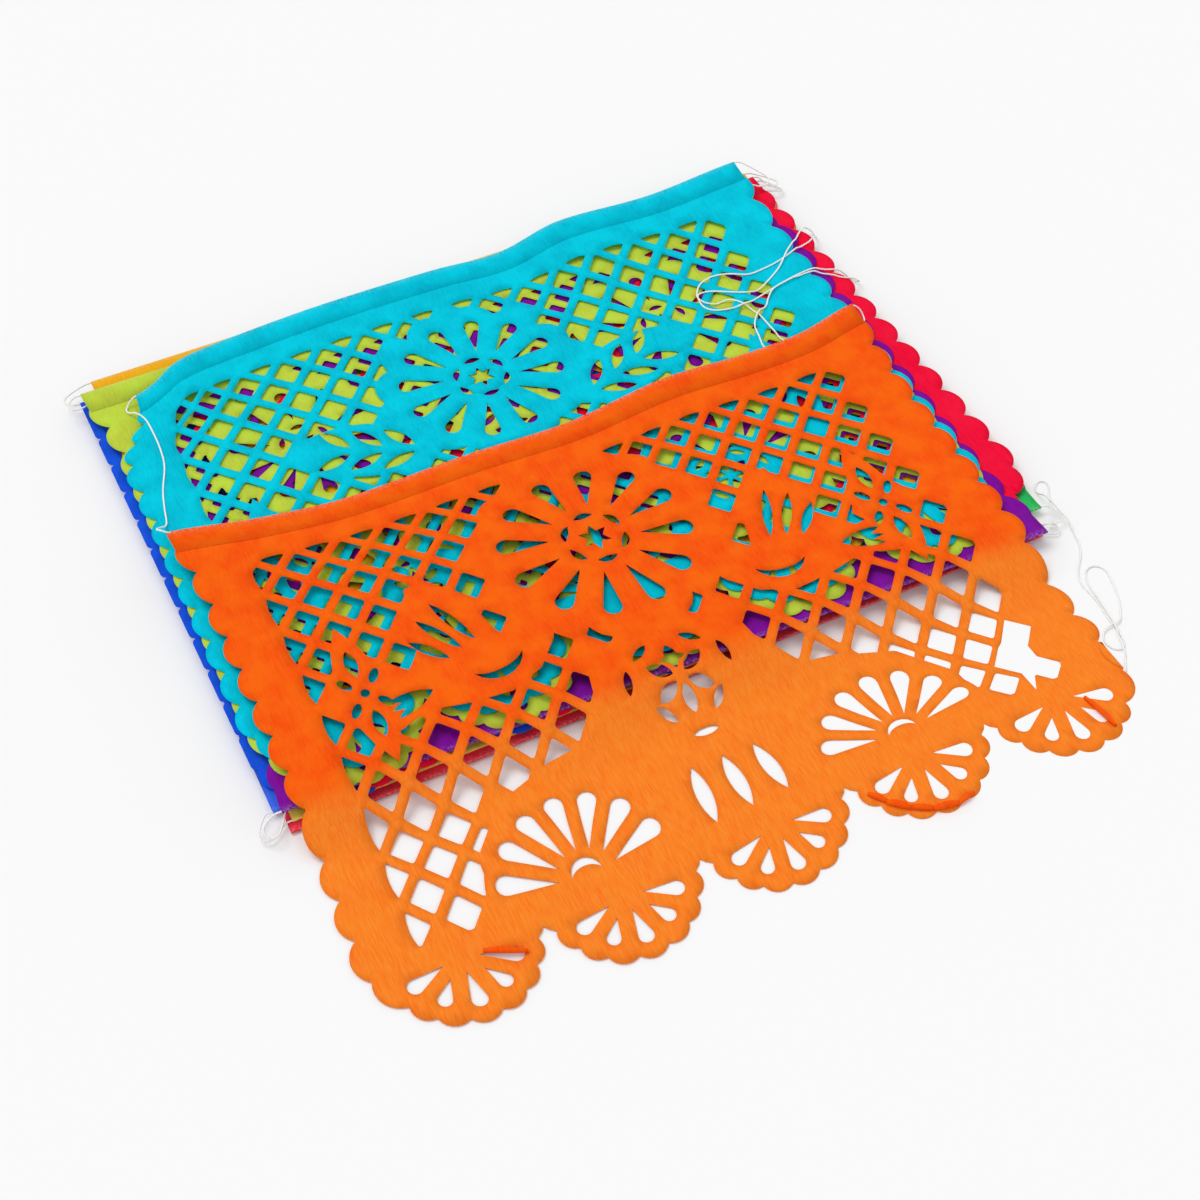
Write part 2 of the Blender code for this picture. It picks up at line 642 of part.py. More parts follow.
def smooth_line(points):
    """The points and one more between each two, on a smooth line."""
    ends = [2 * points[0] - points[1]] + points + [2 * points[-1] - points[-2]]
    out = []
    for a, b, c, d in zip(ends, ends[1:], ends[2:], ends[3:]):
        out += [b, (9 * (b + c) - a - d) / 16]
    return out + [points[-1]]


def rest_height(stack, p, q):
    """Middle of a string that rests on the stack or the table all the way from p to q."""
    height = TABLE_GAP
    for i in range(REST_STEPS + 1):
        middle = p.lerp(q, i / REST_STEPS)
        for dx, dy in ((0, 0), (1, 0), (-1, 0), (0, 1), (0, -1)):
            for sheet in stack:
                hit = sheet.ray_cast((middle.x + dx * STRING, middle.y + dy * STRING, 1), (0, 0, -1))[0]
                if hit:
                    height = max(height, hit.z + STRING_GAP)
    return height + STRING / 2


def laid_string(stack, route, first, last):
    """A loose stretch between two fixed points; a free end has no last point."""
    centred = Vector((STACK_SHIFT_X, STACK_SHIFT_Y, 0.0))
    points = smooth_line([Vector((x * MM, y * MM, lift * MM)) + centred for x, y, lift in route])
    heights = [rest_height(stack, p, q) for p, q in zip(points, points[1:])]
    for p, before, after in zip(points, heights[:1] + heights, heights + heights[-1:]):
        p.z += max(before, after)
    points = [first] + points + ([last] if last else [])
    for order in (range(1, len(points) - (1 if last else 0)), range(len(points) - 2, 0, -1)):
        for i in order:
            other = points[i - order.step]
            fall = STRING_FALL * math.hypot(points[i].x - other.x, points[i].y - other.y)
            points[i].z = max(points[i].z, other.z - fall)
    return points[1:len(points) - (1 if last else 0)]


def through_hems(order, from_right):
    """The string's points through several hems, from the first panel's far side."""
    points = []
    for index in order:
        run = hem_run(index, from_right)
        if points:
            points += link(points[-1], run[0], 1 if from_right else -1)
        points += run
        from_right = not from_right
    return points


def make_string(name, points, material, collection):
    curve = bpy.data.curves.new(name, "CURVE")
    curve.dimensions = "3D"
    curve.bevel_depth = STRING / 2
    curve.bevel_resolution = STRING_SIDES
    curve.use_fill_caps = True
    line = curve.splines.new("POLY")
    line.points.add(len(points) - 1)
    for point, place_at in zip(line.points, points):
        point.co = (*place_at, 1.0)
    cord = bpy.data.objects.new(name, curve)
    curve.materials.append(material)
    collection.objects.link(cord)
    return cord


def make_material(name, colour, roughness):
    material = bpy.data.materials.new(name)
    material.use_nodes = True
    shader = material.node_tree.nodes["Principled BSDF"]
    shader.inputs["Base Color"].default_value = (*colour, 1.0)
    shader.inputs["Roughness"].default_value = roughness
    shader.inputs["Metallic"].default_value = 0.0
    return material


def clear_scene():
    for thing in list(bpy.data.objects):
        bpy.data.objects.remove(thing, do_unlink=True)


def main():
    clear_scene()
    collection = bpy.data.collections.new("papel_picado_banner")
    bpy.context.scene.collection.children.link(collection)
    panels = []
    for index, (name, colour, *_) in enumerate(PANELS):
        material = make_material(name.replace("panel_", "tissue_"), colour, 0.8)
        panels.append(make_panel(index, material, collection))
    graph = bpy.context.evaluated_depsgraph_get()
    stack = [BVHTree.FromObject(panel, graph) for panel in panels[:-1]]

    cotton = make_material("cotton", (0.85, 0.84, 0.80), 0.9)
    top, second = hem_run(11, True), hem_run(10, False)
    back = laid_string(stack, LEADER, top[0], None)[::-1] + top
    back += laid_string(stack, LEFT_LINK, top[-1], second[0]) + second
    rest = through_hems(BACK_HEMS, True)
    back += link(second[-1], rest[0], 1) + rest
    make_string("string_back", back, cotton, collection)
    front = through_hems(FRONT_HEMS, True)
    front = laid_string(stack, TAIL, front[0], None)[::-1] + front
    make_string("string_front", front, cotton, collection)
    print("string points", len(back), len(front))


main()
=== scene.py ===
"""Papel picado banner: the look of twelve cut tissue-paper panels on their cotton string.

Every sheet is cut flat, folded at its hem and laid on the sheets below it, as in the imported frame.
Metres, +Z up, table at z = 0.
"""

from math import acos, asin, atan2, cos, dist, hypot, pi, radians, sin, tan

import bmesh
import bpy
from bpy.props import FloatProperty, FloatVectorProperty, PointerProperty
from mathutils import Matrix, Vector
from mathutils.bvhtree import BVHTree
from mathutils.geometry import delaunay_2d_cdt
from mathutils.kdtree import KDTree


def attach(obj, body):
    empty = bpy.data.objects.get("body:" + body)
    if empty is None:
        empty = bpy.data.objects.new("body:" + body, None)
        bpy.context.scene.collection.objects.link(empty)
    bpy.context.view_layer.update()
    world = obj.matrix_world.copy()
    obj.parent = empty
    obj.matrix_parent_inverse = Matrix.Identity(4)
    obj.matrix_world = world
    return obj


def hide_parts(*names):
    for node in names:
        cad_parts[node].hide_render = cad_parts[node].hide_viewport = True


bl_info = {
    "name": "Papel Picado Banner",
    "version": (1, 0, 0),
    "blender": (4, 5, 0),
    "location": "3D View > Sidebar > Banner",
    "description": "Builds a stack of cut tissue-paper panels on a cotton string",
    "category": "Object",
}

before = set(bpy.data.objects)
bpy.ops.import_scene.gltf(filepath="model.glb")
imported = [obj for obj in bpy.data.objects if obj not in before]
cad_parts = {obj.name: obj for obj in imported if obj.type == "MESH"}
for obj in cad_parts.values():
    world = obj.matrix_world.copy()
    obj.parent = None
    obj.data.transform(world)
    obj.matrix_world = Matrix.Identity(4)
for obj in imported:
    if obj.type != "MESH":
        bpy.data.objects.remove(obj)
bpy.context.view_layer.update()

MM = 0.001

# Paper and string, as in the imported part
PAPER = 0.12 * MM
STRING = 1.1 * MM
STRING_PLAY = 0.08 * MM         # round the string in the hems of the stack
LOOSE_PLAY = 0.3 * MM           # round the string in the hems of the two top panels
LAYER_GAP = 0.3 * MM            # between a hem and the next sheet
TOP_LIFT = 1.3 * MM             # the top sheet rides over the loose string as well

# One panel, before it is folded and laid
PANEL_WIDTH = 457 * MM
PANEL_LENGTH = 345.5 * MM
HEM_END = 10 * MM
HEM_SETBACK = 2 * MM
FLAP = 13 * MM
FLAP_REST = 0.25 * MM
HEM_RAMP = 4 * MM
HEM_GRID = 10 * MM              # between two creases across the hem
SIDE_SCALLOPS = 12
SCALLOP_RISE = 0.26
TABS = 5
TAB_BUMPS = 7
TAB_DEPTH = 40 * MM
LEDGE_DROP = 6 * MM
TAB_HALF = 36.3 * MM
NOTCH_HALF = 5.1 * MM
NOTCH_RISE = 5.3 * MM

# Cut field and lattice
FIELD_SIDE = 194 * MM
FIELD_TOP = 35 * MM
FIELD_BOTTOM = PANEL_LENGTH - 50.5 * MM
FIELD_CORNER = 9 * MM
CELL_WIDTH = 27.1 * MM
CELL_HEIGHT = 29.8 * MM
STRIP = 5.6 * MM
CELL_SHIFT_X = -166.5 * MM
CELL_SHIFT_Y = -77.4 * MM
LEAST_CELL = 0.22               # smallest share of a cell that is worth a cut
CELL_ROUND = 1.8 * MM           # corners left by the chisel
CELL_BULGE = 0.07               # outer edge of the cells at the field's border
DRAWN_FOOT = 295                # foot and height of the field that the motifs are drawn on, in mm
DRAWN_HEIGHT = 260

# Stack
HEM_RADIUS = STRING / 2 + STRING_PLAY + PAPER / 2
LOOSE_RADIUS = STRING / 2 + LOOSE_PLAY + PAPER / 2
LEVEL = HEM_RADIUS + PAPER + LAYER_GAP
FIRST_LEVEL = 2 * HEM_RADIUS + PAPER + LAYER_GAP + PAPER / 2
BOTTOM_LEVEL = PAPER / 2
SQUARE_BACK_Y = 240 * MM
SQUARE_FRONT_Y = SQUARE_BACK_Y - PANEL_LENGTH
TOP_PULL = 151 * MM             # how far the top panel is pulled forward
DROP_START_Y = SQUARE_FRONT_Y - 1.5 * MM
DROP_END_Y = DROP_START_Y - 43 * MM
STACK_SHIFT_X = -2.29 * MM
STACK_SHIFT_Y = -0.35 * MM

# Hems of the two top panels: place along the hem, pull forward or back, lift
TOP_HEM_SHAPE = [
    (-226, -1, 6), (-178, -9, 3), (-126, -14, 0.5), (-44, -12, 0.5), (22, -13, 0.5), (90, -5, 2),
    (145, -7, 2), (186, -6, 3), (226, 1, 6),
]
SECOND_HEM_SHAPE = [
    (-226, -33, 3), (-186, -20, 7), (-140, -8, 2), (-76, -2, 1), (4, -1, 0.5), (49, -3, 0),
    (94, 6, 3), (160, 5, 2), (226, 10, 4),
]
SECOND_CORNER_PULL = 26 * MM
CORNER_START = 0.30 * PANEL_WIDTH
CORNER_REACH = 0.2 * PANEL_WIDTH
HEM_SHAPE_REACH = 95 * MM
BENT_EDGE = {"blue": -224.5 * MM, "cobalt": 223 * MM}
DRAW_IN = {"turquoise": 0.985, "lime": 0.975, "purple": 0.976, "rose": 0.985}  # below the hem
DRAW_REACH = 60 * MM            # below the hem, where drawing in begins
# Panels that slipped in the stack: mm to the right and back, degrees
SLIPPED = {"salmon": (0, -9, 0), "gold": (0, -3, 0), "crimson": (-10, -8, 1.5), "purple": (-3, 2, -1.6),
           "cobalt": (-5, 0, -0.8), "turquoise": (0, 0, -0.6)}

# Wear of the top panel, in mm on the flat sheet: a torn hole, folded rims (line, then the box that
# they lie in) and strips rolled up from a cut's edge (axis, radius)
TORN_HOLE = [(185.7, -242.9), (196.2, -253), (186.2, -264.7), (186, -274.5), (195.1, -286.2),
             (176.8, -288.5), (171.9, -298.2), (171.3, -283.3), (160.8, -270.4), (170.5, -258.5),
             (174.2, -256)]
FOLDED_RIMS = [((223.5, -308), (223.5, -281), (220, 230, -306, -283))]
ROLLS = [((-166, -309), (-146, -317), 2.0), ((192, -313), (196, -336), 1.6), ((53, -316), (60, -325), 1.7),
         ((59, -325), (69, -334), 2.1), ((68, -333), (80, -340), 1.8), ((79, -340), (93, -343), 2.1),
         ((92, -343.5), (104, -341), 1.6)]
RIM_GAP = 0.35 * MM             # between a folded rim and the sheet under it
ROLL_TURNS = 1.4
ROLL_SIDES = 14
ROLL_STEPS = 12

# How the top panel lies: drawn in by its ripples, its row of tabs pulled askew
TOP_DRAW_IN = 0.9727
TOP_DRAW_SHIFT = -7.26 * MM
TOP_WAIST = 0.018               # narrower between the hem and the tabs
WAIST_END = 310 * MM
WAIST_REACH = 100 * MM
TAB_ROW_SHAPE = [(-226, 0, 0), (-133, -6, 0), (-44, -4, 0), (44, 3, 0), (133, 7, 0), (226, 5, 0)]
TAB_ROW_START = PANEL_LENGTH - 90 * MM
TAB_ROW_REACH = 45 * MM

# Ripples of the sheets
STACK_RIPPLE = 0.3 * MM
SECOND_RIPPLE = 0.45 * MM
TOP_RIPPLE = 0.9 * MM
RIPPLE_RAMP = 20 * MM           # below the hem, where the ripples begin
TABLE_LIFT = 0.35               # share of a ripple that stays where the sheet lies on the table
TOP_FLOAT = 2.6 * MM            # how far the top sheet's left part floats over the next
FLOAT_START = 0.25 * PANEL_WIDTH
FLOAT_REACH = 0.4 * PANEL_WIDTH

# Tissue
THROUGH = {"turquoise": 2.6, "orange": 0.6}     # light let through, times the paper's own share
DEEP_GREEN = {"orange": 0.62}                   # green's share in the darker clouds
FIBRE_STRETCH = (1500, 130, 400)
FIBRE_TURN = 0.12
WORN_REACH = 5 * MM             # of the worn fold, to each side
TABLE_LIGHT_PAINT_REACH = 20 * MM            # where the top sheet's painted light, a paler colour over the white table, fades in

# String: every route is in mm, (x, y), from the mouth of the hem that it leaves
STRING_FALL = 0.8               # steepest fall of a loose stretch
STRING_GAP = 0.1 * MM           # under a loose stretch
TABLE_GAP = 0.05 * MM           # under a loose stretch on the table
REST_STEPS = 6                  # places looked at under each straight piece of a loose stretch
SETTLE_ROUNDS = 5
SOFT_STEP = 2 * MM              # between two points while tight corners open
SOFT_ROUNDS = 80
SOFT_BEND = 2.6 * MM            # tightest bend that is left
LOOP_RADIUS = 4.2 * MM          # of a link's tip
OWN_REACH = 5 * MM              # nearest place along itself that a string may lie on
LOOSE_STEP = 4 * MM             # between two points of a loose stretch
MOUTH_LEAD = 4 * MM             # straight stretch of a link at each mouth
LINK_STEP = 3 * MM              # between two points of a link
TWIST_STEP = 0.8 * MM           # between two rings of the finished string
PLIES = 3
PLY_DENT = 0.80                 # of the string's radius, between two plies and on them
PLY_CROWN = 1.04
LEFT_LINK = [(-3.5, 0.6), (-4.8, 4), (-2, 8.5), (3, 14), (5.5, 26), (9, 41), (15.5, 59), (17.5, 72),
             (17.7, 86), (16.5, 101), (11.5, 110), (8.6, 116), (11.6, 119.6)]
LEADER = [(4, 0.6), (6.4, -3), (4, -9.5), (-4, -16), (-14, -23), (-29, -27), (-42, -23), (-48, -15),
          (-49, -7), (-50.5, 10), (-51.5, 26), (-53, 33), (-57, 41), (-64, 46.5), (-72, 46), (-77.5, 50),
          (-78, 58), (-72, 66), (-62, 69.5), (-51, 67.5), (-40, 61.5), (-30, 62), (-19, 64), (-8.5, 67.5),
          (1.5, 72), (13, 77), (23, 84), (25, 93), (17, 92), (4, 80), (-4.5, 73), (-16, 61.5), (-26, 54),
          (-37.5, 47.5), (-48, 46.5), (-59, 52), (-69, 57.5), (-78, 57.5), (-79.5, 46), (-73.5, 39.5),
          (-62, 37), (-52, 37), (-41.5, 40), (-31, 43), (-15.5, 47), (-2.5, 49), (7, 48.5), (20, 43),
          (28, 34), (20, 34), (9, 41), (0, 46.5), (-10, 46.5), (-21, 44.5), (-32.5, 41.5), (-39, 36),
          (-44, 29.5), (-51, 26.5), (-58.5, 17.5), (-61, 7), (-63, -2), (-62, -9), (-60, -16)]
TAIL = [(10, 10.3), (16, 20.3), (24, 32.3), (27.5, 38.3), (25, 42.3), (19, 39.3), (16, 28.3),
        (17.5, 14.3), (18.5, 4.3), (18, -5.7), (13, -16.7), (5, -25.7), (1, -34.7), (1.5, -47.7),
        (0, -61.7), (-0.5, -74.7), (-4, -83.7), (-9.5, -82.7), (-11.5, -75.7), (-8, -69.7),
        (-2, -67.7), (5, -66.7), (13, -53.7), (17, -41.7), (19, -31.7), (15, -26.7), (9, -27.7),
        (4.5, -35.7), (3, -49.7), (-0.5, -67.7), (-4, -80.7), (-8, -89.7), (-13, -97.7)]

# Links between two mouths: reach past the outer mouth and droop towards the viewer, in mm
BACK_LINKS = [(6, 14), (5, 4), (7, 17), (6, 5)]
FRONT_LINKS = [(4, 5), (6, 11), (4, 8), (7, 15)]
TOP_LINK = (8, 18)

BACK, FRONT = 1, -1

# Panels from the bottom: colour's name, hem side, middle of the hem in mm from the middle of that
# side of the stack, turn in degrees, stencil
PANELS = [
    ("salmon", BACK, (8, 12), 1.0, "doves"),
    ("rose", FRONT, (1, -9.5), 1.0, "leaves"),
    ("yellow", FRONT, (4, -4), 1.0, "doves"),
    ("cobalt", FRONT, (-2, 1.5), 1.0, "blooms"),
    ("green", FRONT, (10, 7), 1.0, "doves"),
    ("blue", BACK, (-13, -8), 1.2, "leaves"),
    ("gold", BACK, (0, 8.5), 1.0, "blooms"),
    ("crimson", BACK, (13, 1.5), 0.8, "doves"),
    ("purple", FRONT, (3, -9.5), 1.0, "leaves"),
    ("lime", BACK, (-9, -7), 0.8, "blooms"),
    ("turquoise", BACK, (-6, 3), 0.8, "leaves"),
    ("orange", BACK, (4, 0), 0.0, "worn doves"),
]
SECOND, TOP = len(PANELS) - 2, len(PANELS) - 1
BACK_HEMS = (0, 5, 6, 7, 9)     # of the stack, from the bottom
FRONT_HEMS = (1, 2, 3, 4, 8)

# Camera, as the photograph was taken: metres and degrees
CAMERA_TARGET = (STACK_SHIFT_X - 18.71 * MM, STACK_SHIFT_Y - 44.85 * MM, 0.0)
CAMERA_DISTANCE = 1.1133
CAMERA_ELEVATION = 49.15
CAMERA_AZIMUTH = -24.39
CAMERA_ROLL = -0.96
CAMERA_LENS = 60.24             # mm, on a sensor this wide
CAMERA_SENSOR = 36

# Soft overhead light, in degrees
SUN_WIDTH = 35
SUN_TURN = (-22, -16, 0)


COLOURS = {
    "orange": ("Top panel", (1.00, 0.118, 0.002)),
    "turquoise": ("Second panel", (0.00, 0.70, 0.93)),
    "lime": ("Third panel", (0.57, 0.69, 0.06)),
    "purple": ("Fourth panel", (0.24, 0.00, 0.37)),
    "crimson": ("Fifth panel", (0.98, 0.00, 0.045)),
    "gold": ("Sixth panel", (1.00, 0.48, 0.012)),
    "blue": ("Seventh panel", (0.01, 0.09, 0.80)),
    "green": ("Eighth panel", (0.03, 0.52, 0.12)),
    "cobalt": ("Ninth panel", (0.05, 0.14, 0.88)),
    "yellow": ("Tenth panel", (1.00, 0.74, 0.10)),
    "rose": ("Eleventh panel", (0.95, 0.03, 0.07)),
    "salmon": ("Lowest panel", (1.00, 0.24, 0.12)),
    "cotton": ("String", (0.97, 0.97, 0.96)),
}


def tint(name, description, default):
    return FloatVectorProperty(name=name, description=description, subtype="COLOR", size=3,
                               min=0.0, max=1.0, default=default)


class BannerColours(bpy.types.PropertyGroup):
    """Colours of the paper and the string."""

    __annotations__ = {name: tint(name.capitalize(), note, colour)
                       for name, (note, colour) in COLOURS.items()}


class BannerPaper(bpy.types.PropertyGroup):
    """How the paper is cut and bent."""

    grid: FloatProperty(name="Bending grid", description="Spacing of the points by which a sheet bends",
                        default=7 * MM, min=3 * MM, max=40 * MM, unit="LENGTH")
    through: FloatProperty(name="Light let through", description="Share that passes through tissue",
                           default=0.12, min=0.0, max=1.0, subtype="FACTOR")
    twist: FloatProperty(name="Length of one twist", description="Along the string, for each of its plies",
                         default=6 * MM, min=1 * MM, max=40 * MM, unit="LENGTH")


class BannerStage(bpy.types.PropertyGroup):
    """Table and light."""

    floor_size: FloatProperty(name="Table size", description="Side of the table top", default=6.0,
                              min=1.0, unit="LENGTH")
    floor_colour: tint("Table colour", "Pale table top", (0.93, 0.93, 0.935))
    sky: FloatProperty(name="Soft light", description="Strength of the even light", default=0.745, min=0.0)
    sun: FloatProperty(name="Key light", description="Strength of the soft overhead light",
                       default=1.0, min=0.0)


def shift(points, dx, dy, turn=0.0, mirror=False):
    """The outline turned, mirrored left to right if asked, and moved."""
    c, s = cos(turn), sin(turn)
    out = [(dx + c * x - s * y, dy + s * x + c * y) for x, y in points]
    if mirror:
        out = [(2 * dx - x, y) for x, y in out][::-1]
    return out


def arc(p, q, rise, steps):
    """Points after p up to q on an arc that bulges to the right of the way from p to q."""
    chord = dist(p, q)
    sagitta = rise * chord
    radius = (chord * chord / 4 + sagitta * sagitta) / (2 * sagitta)
    half = asin(min(1.0, chord / 2 / radius))
    ux, uy = (q[0] - p[0]) / chord, (q[1] - p[1]) / chord
    mx, my = (p[0] + q[0]) / 2, (p[1] + q[1]) / 2
    cx = mx - uy * (radius - sagitta)
    cy = my + ux * (radius - sagitta)
    out = []
    for i in range(1, steps):
        a = -half + 2 * half * i / steps
        out.append((cx + radius * (sin(a) * ux + cos(a) * uy),
                    cy + radius * (sin(a) * uy - cos(a) * ux)))
    return out + [q]


def area(points):
    return 0.5 * sum(a[0] * b[1] - b[0] * a[1] for a, b in zip(points, points[1:] + points[:1]))


def rounded(points, radius, steps):
    """The outline with its corners rounded."""
    out = []
    for a, b, c in zip(points[-1:] + points[:-1], points, points[1:] + points[:1]):
        to_a = Vector((a[0] - b[0], a[1] - b[1]))
        to_c = Vector((c[0] - b[0], c[1] - b[1]))
        if to_a.length < 1e-6 or to_c.length < 1e-6:
            continue
        half = to_a.angle(to_c) / 2
        if half > radians(80):
            out.append(b)
            continue
        back = min(radius / tan(half), 0.42 * to_a.length, 0.42 * to_c.length)
        p = Vector(b) + to_a.normalized() * back
        q = Vector(b) + to_c.normalized() * back
        for i in range(steps + 1):
            t = i / steps
            w = p * (1 - t) ** 2 + Vector(b) * 2 * t * (1 - t) + q * t * t
            out.append((w.x, w.y))
    return out


def ellipse(rx, ry, steps):
    return [(rx * cos(2 * pi * i / steps), ry * sin(2 * pi * i / steps))
            for i in range(steps)]


def teardrop(tip, end, radius, steps):
    """A petal from a point to a round end."""
    ax, ay = end[0] - tip[0], end[1] - tip[1]
    length = hypot(ax, ay)
    lean = acos(radius / length)
    way = atan2(ay, ax)
    first, last = way + pi - lean, way - pi + lean
    out = [tip]
    for i in range(steps + 1):
        a = last + (first - last) * i / steps
        out.append((end[0] + radius * cos(a), end[1] + radius * sin(a)))
    return out


def star(radius, points, waist):
    return [(radius * (1 if i % 2 == 0 else waist) * sin(pi * i / points),
             radius * (1 if i % 2 == 0 else waist) * cos(pi * i / points))
            for i in range(2 * points)]


def lobed(radius, lobes, rise, steps):
    """A round silhouette with a scalloped rim."""
    corners = [(radius * cos(2 * pi * i / lobes), radius * sin(2 * pi * i / lobes))
               for i in range(lobes + 1)]
    out = []
    for p, q in zip(corners, corners[1:]):
        out += arc(p, q, rise, steps)
    return out


def leaf(length, width, steps):
    """A pointed leaf along +Y from the origin."""
    side = arc((0, 0), (0, length), width / 2 / length, steps)
    return side + [(-x, y) for x, y in reversed(side[:-1])] + [(0, 0)]


def crescent(radius, span, width, steps):
    """A slit along an arc about the origin, widest in the middle; span is its half angle."""
    outer, inner = [], []
    for i in range(steps + 1):
        a = -span + 2 * span * i / steps
        swell = width / 2 * cos(a / span * pi / 2)
        outer.append(((radius + swell) * sin(a), (radius + swell) * cos(a)))
        inner.append(((radius - swell) * sin(a), (radius - swell) * cos(a)))
    return outer[::-1] + inner[1:-1]


def side_cusp():
    """Depth of the last side scallop, pitch of the scallops, and how far out their cusps stand."""
    side_end = PANEL_LENGTH - TAB_DEPTH
    pitch = (side_end - HEM_END) / SIDE_SCALLOPS
    return side_end, pitch, PANEL_WIDTH / 2 - SCALLOP_RISE * pitch


def panel_outline(steps, tab_steps, flap_end):
    """The cut sheet, opened flat: x across, y = 0 at the fold, the flap above it."""
    side_end, pitch, cusp_x = side_cusp()
    hem_x = PANEL_WIDTH / 2 - HEM_SETBACK
    ledge = -(side_end + LEDGE_DROP)
    tab_pitch = 2 * cusp_x / TABS
    inner = [180 + 180 * k / TAB_BUMPS for k in range(1, TAB_BUMPS)]
    chord = 2 * TAB_HALF * cos(radians(90 - 90 / TAB_BUMPS))
    tab_drop = (TAB_DEPTH - LEDGE_DROP - SCALLOP_RISE * chord) / cos(radians(90 / TAB_BUMPS))

    out = [(hem_x, flap_end), (-hem_x, flap_end), (-hem_x, -HEM_END + HEM_SETBACK)]
    out.append((-cusp_x, -HEM_END))
    for i in range(SIDE_SCALLOPS):
        out += arc((-cusp_x, -HEM_END - i * pitch), (-cusp_x, -HEM_END - (i + 1) * pitch),
                   SCALLOP_RISE, steps)
    for tab in range(TABS):
        middle = -cusp_x + (tab + 0.5) * tab_pitch
        cusps = [(middle + TAB_HALF * cos(radians(a)),
                  ledge + tab_drop * sin(radians(a))) for a in inner]
        last = (middle + tab_pitch / 2 - NOTCH_HALF, ledge)
        if tab == TABS - 1:
            last = (cusp_x, -side_end)
        for q in cusps + [last]:
            out += arc(out[-1], q, SCALLOP_RISE, tab_steps)
        if tab < TABS - 1:
            notch = middle + tab_pitch / 2
            out += [(notch - NOTCH_HALF / 3, ledge + NOTCH_RISE / 2), (notch, ledge + NOTCH_RISE),
                    (notch + NOTCH_HALF / 3, ledge + NOTCH_RISE / 2), (notch + NOTCH_HALF, ledge)]
    for i in range(SIDE_SCALLOPS):
        y = -side_end + i * pitch
        out += arc((cusp_x, y), (cusp_x, y + pitch), SCALLOP_RISE, steps)
    out.append((hem_x, -HEM_END + HEM_SETBACK))
    return out


def tab_petals(steps):
    """Five petals in each tab."""
    side_end, _, cusp_x = side_cusp()
    ledge = -(side_end + LEDGE_DROP)
    half = [((9.3 * MM, 2 * MM), (26 * MM, -4 * MM), 4.3 * MM),
            ((9 * MM, -6 * MM), (15.5 * MM, -15.8 * MM), 3.8 * MM)]
    out = []
    for tab in range(TABS):
        middle = -cusp_x + (tab + 0.5) * 2 * cusp_x / TABS
        for tip, end, radius in half:
            petal = teardrop(tip, end, radius, steps)
            out += [shift(petal, middle, ledge), shift(petal, middle, ledge, mirror=True)]
        petal = teardrop((0, -4.8 * MM), (0, -21 * MM), 4.2 * MM, steps)
        out.append(shift(petal, middle, ledge))
    return out


def field_outline():
    top, bottom, side, cut = -FIELD_TOP, -FIELD_BOTTOM, FIELD_SIDE, FIELD_CORNER
    return [(-side, bottom), (side, bottom), (side, top - cut), (side - cut, top),
            (-side + cut, top), (-side, top - cut)]


def off_line(a, b, p):
    """How far p lies to the left of the line from a to b, times the line's length."""
    return (b[0] - a[0]) * (p[1] - a[1]) - (b[1] - a[1]) * (p[0] - a[0])


def clipped(cell, border):
    """The cell cut off at a convex border; an edge on the border bulges a little."""
    sides = list(zip(border, border[1:] + border[:1]))
    for a, b in sides:
        out = []
        for p, q in zip(cell[-1:] + cell[:-1], cell):
            dp, dq = off_line(a, b, p), off_line(a, b, q)
            if dp * dq < 0:
                t = dp / (dp - dq)
                out.append((p[0] + t * (q[0] - p[0]), p[1] + t * (q[1] - p[1])))
            if dq >= 0:
                out.append(q)
        cell = out
        if len(cell) < 3:
            return []
    out = []
    for p, q in zip(cell, cell[1:] + cell[:1]):
        out.append(p)
        on_edge = any(abs(off_line(a, b, p)) < 1e-9 and abs(off_line(a, b, q)) < 1e-9 for a, b in sides)
        if on_edge and dist(p, q) > CELL_ROUND:
            out += arc(p, q, CELL_BULGE, 4)[:-1]
    return out


def lattice():
    """Diamond cells over the whole field, in rows that step by half a cell."""
    slope = hypot(CELL_WIDTH, CELL_HEIGHT)
    half_x = CELL_WIDTH / 2 - STRIP / 2 * slope / CELL_HEIGHT
    half_y = CELL_HEIGHT / 2 - STRIP / 2 * slope / CELL_WIDTH
    border = field_outline()
    cells = []
    rows = int(2 * FIELD_BOTTOM / CELL_HEIGHT) + 3
    columns = int(2 * FIELD_SIDE / CELL_WIDTH) + 3
    for row in range(rows):
        y = CELL_SHIFT_Y + 2 * CELL_HEIGHT - row * CELL_HEIGHT / 2
        for column in range(columns):
            x = CELL_SHIFT_X + (column - 2 + 0.5 * (row % 2)) * CELL_WIDTH
            if abs(x) < FIELD_SIDE + half_x and -FIELD_BOTTOM - half_y < y < -FIELD_TOP + half_y:
                cell = clipped([(x + half_x, y), (x, y + half_y), (x - half_x, y), (x, y - half_y)],
                               border)
                if cell and abs(area(cell)) > LEAST_CELL * 2 * half_x * half_y:
                    cells.append(rounded(cell, CELL_ROUND, 3))
    return cells


def lattice_flower(steps):
    """A spindle of whole paper in the lattice, with a small flower cut in it."""
    solid = [(0, 49), (7, 35), (13, 14), (21, 0), (13, -14), (7, -35), (0, -49),
             (-7, -35), (-13, -14), (-21, 0), (-13, 14), (-7, 35)]
    solid = [(x * MM, y * MM) for x, y in solid][::-1]
    slits = [ellipse(2.6 * MM, 2.8 * MM, 2 * steps)]
    petal = ellipse(2.6 * MM, 5.2 * MM, 2 * steps)
    for sx, sy in ((1, 1), (-1, 1), (-1, -1), (1, -1)):
        slits.append(shift(petal, sx * 8.6 * MM, sy * 9.4 * MM, -sx * sy * 0.6))
    blade = leaf(19 * MM, 7.2 * MM, steps)
    slits += [shift(blade, 0, 12 * MM), shift(blade, 0, -12 * MM, pi)]
    return [solid], slits


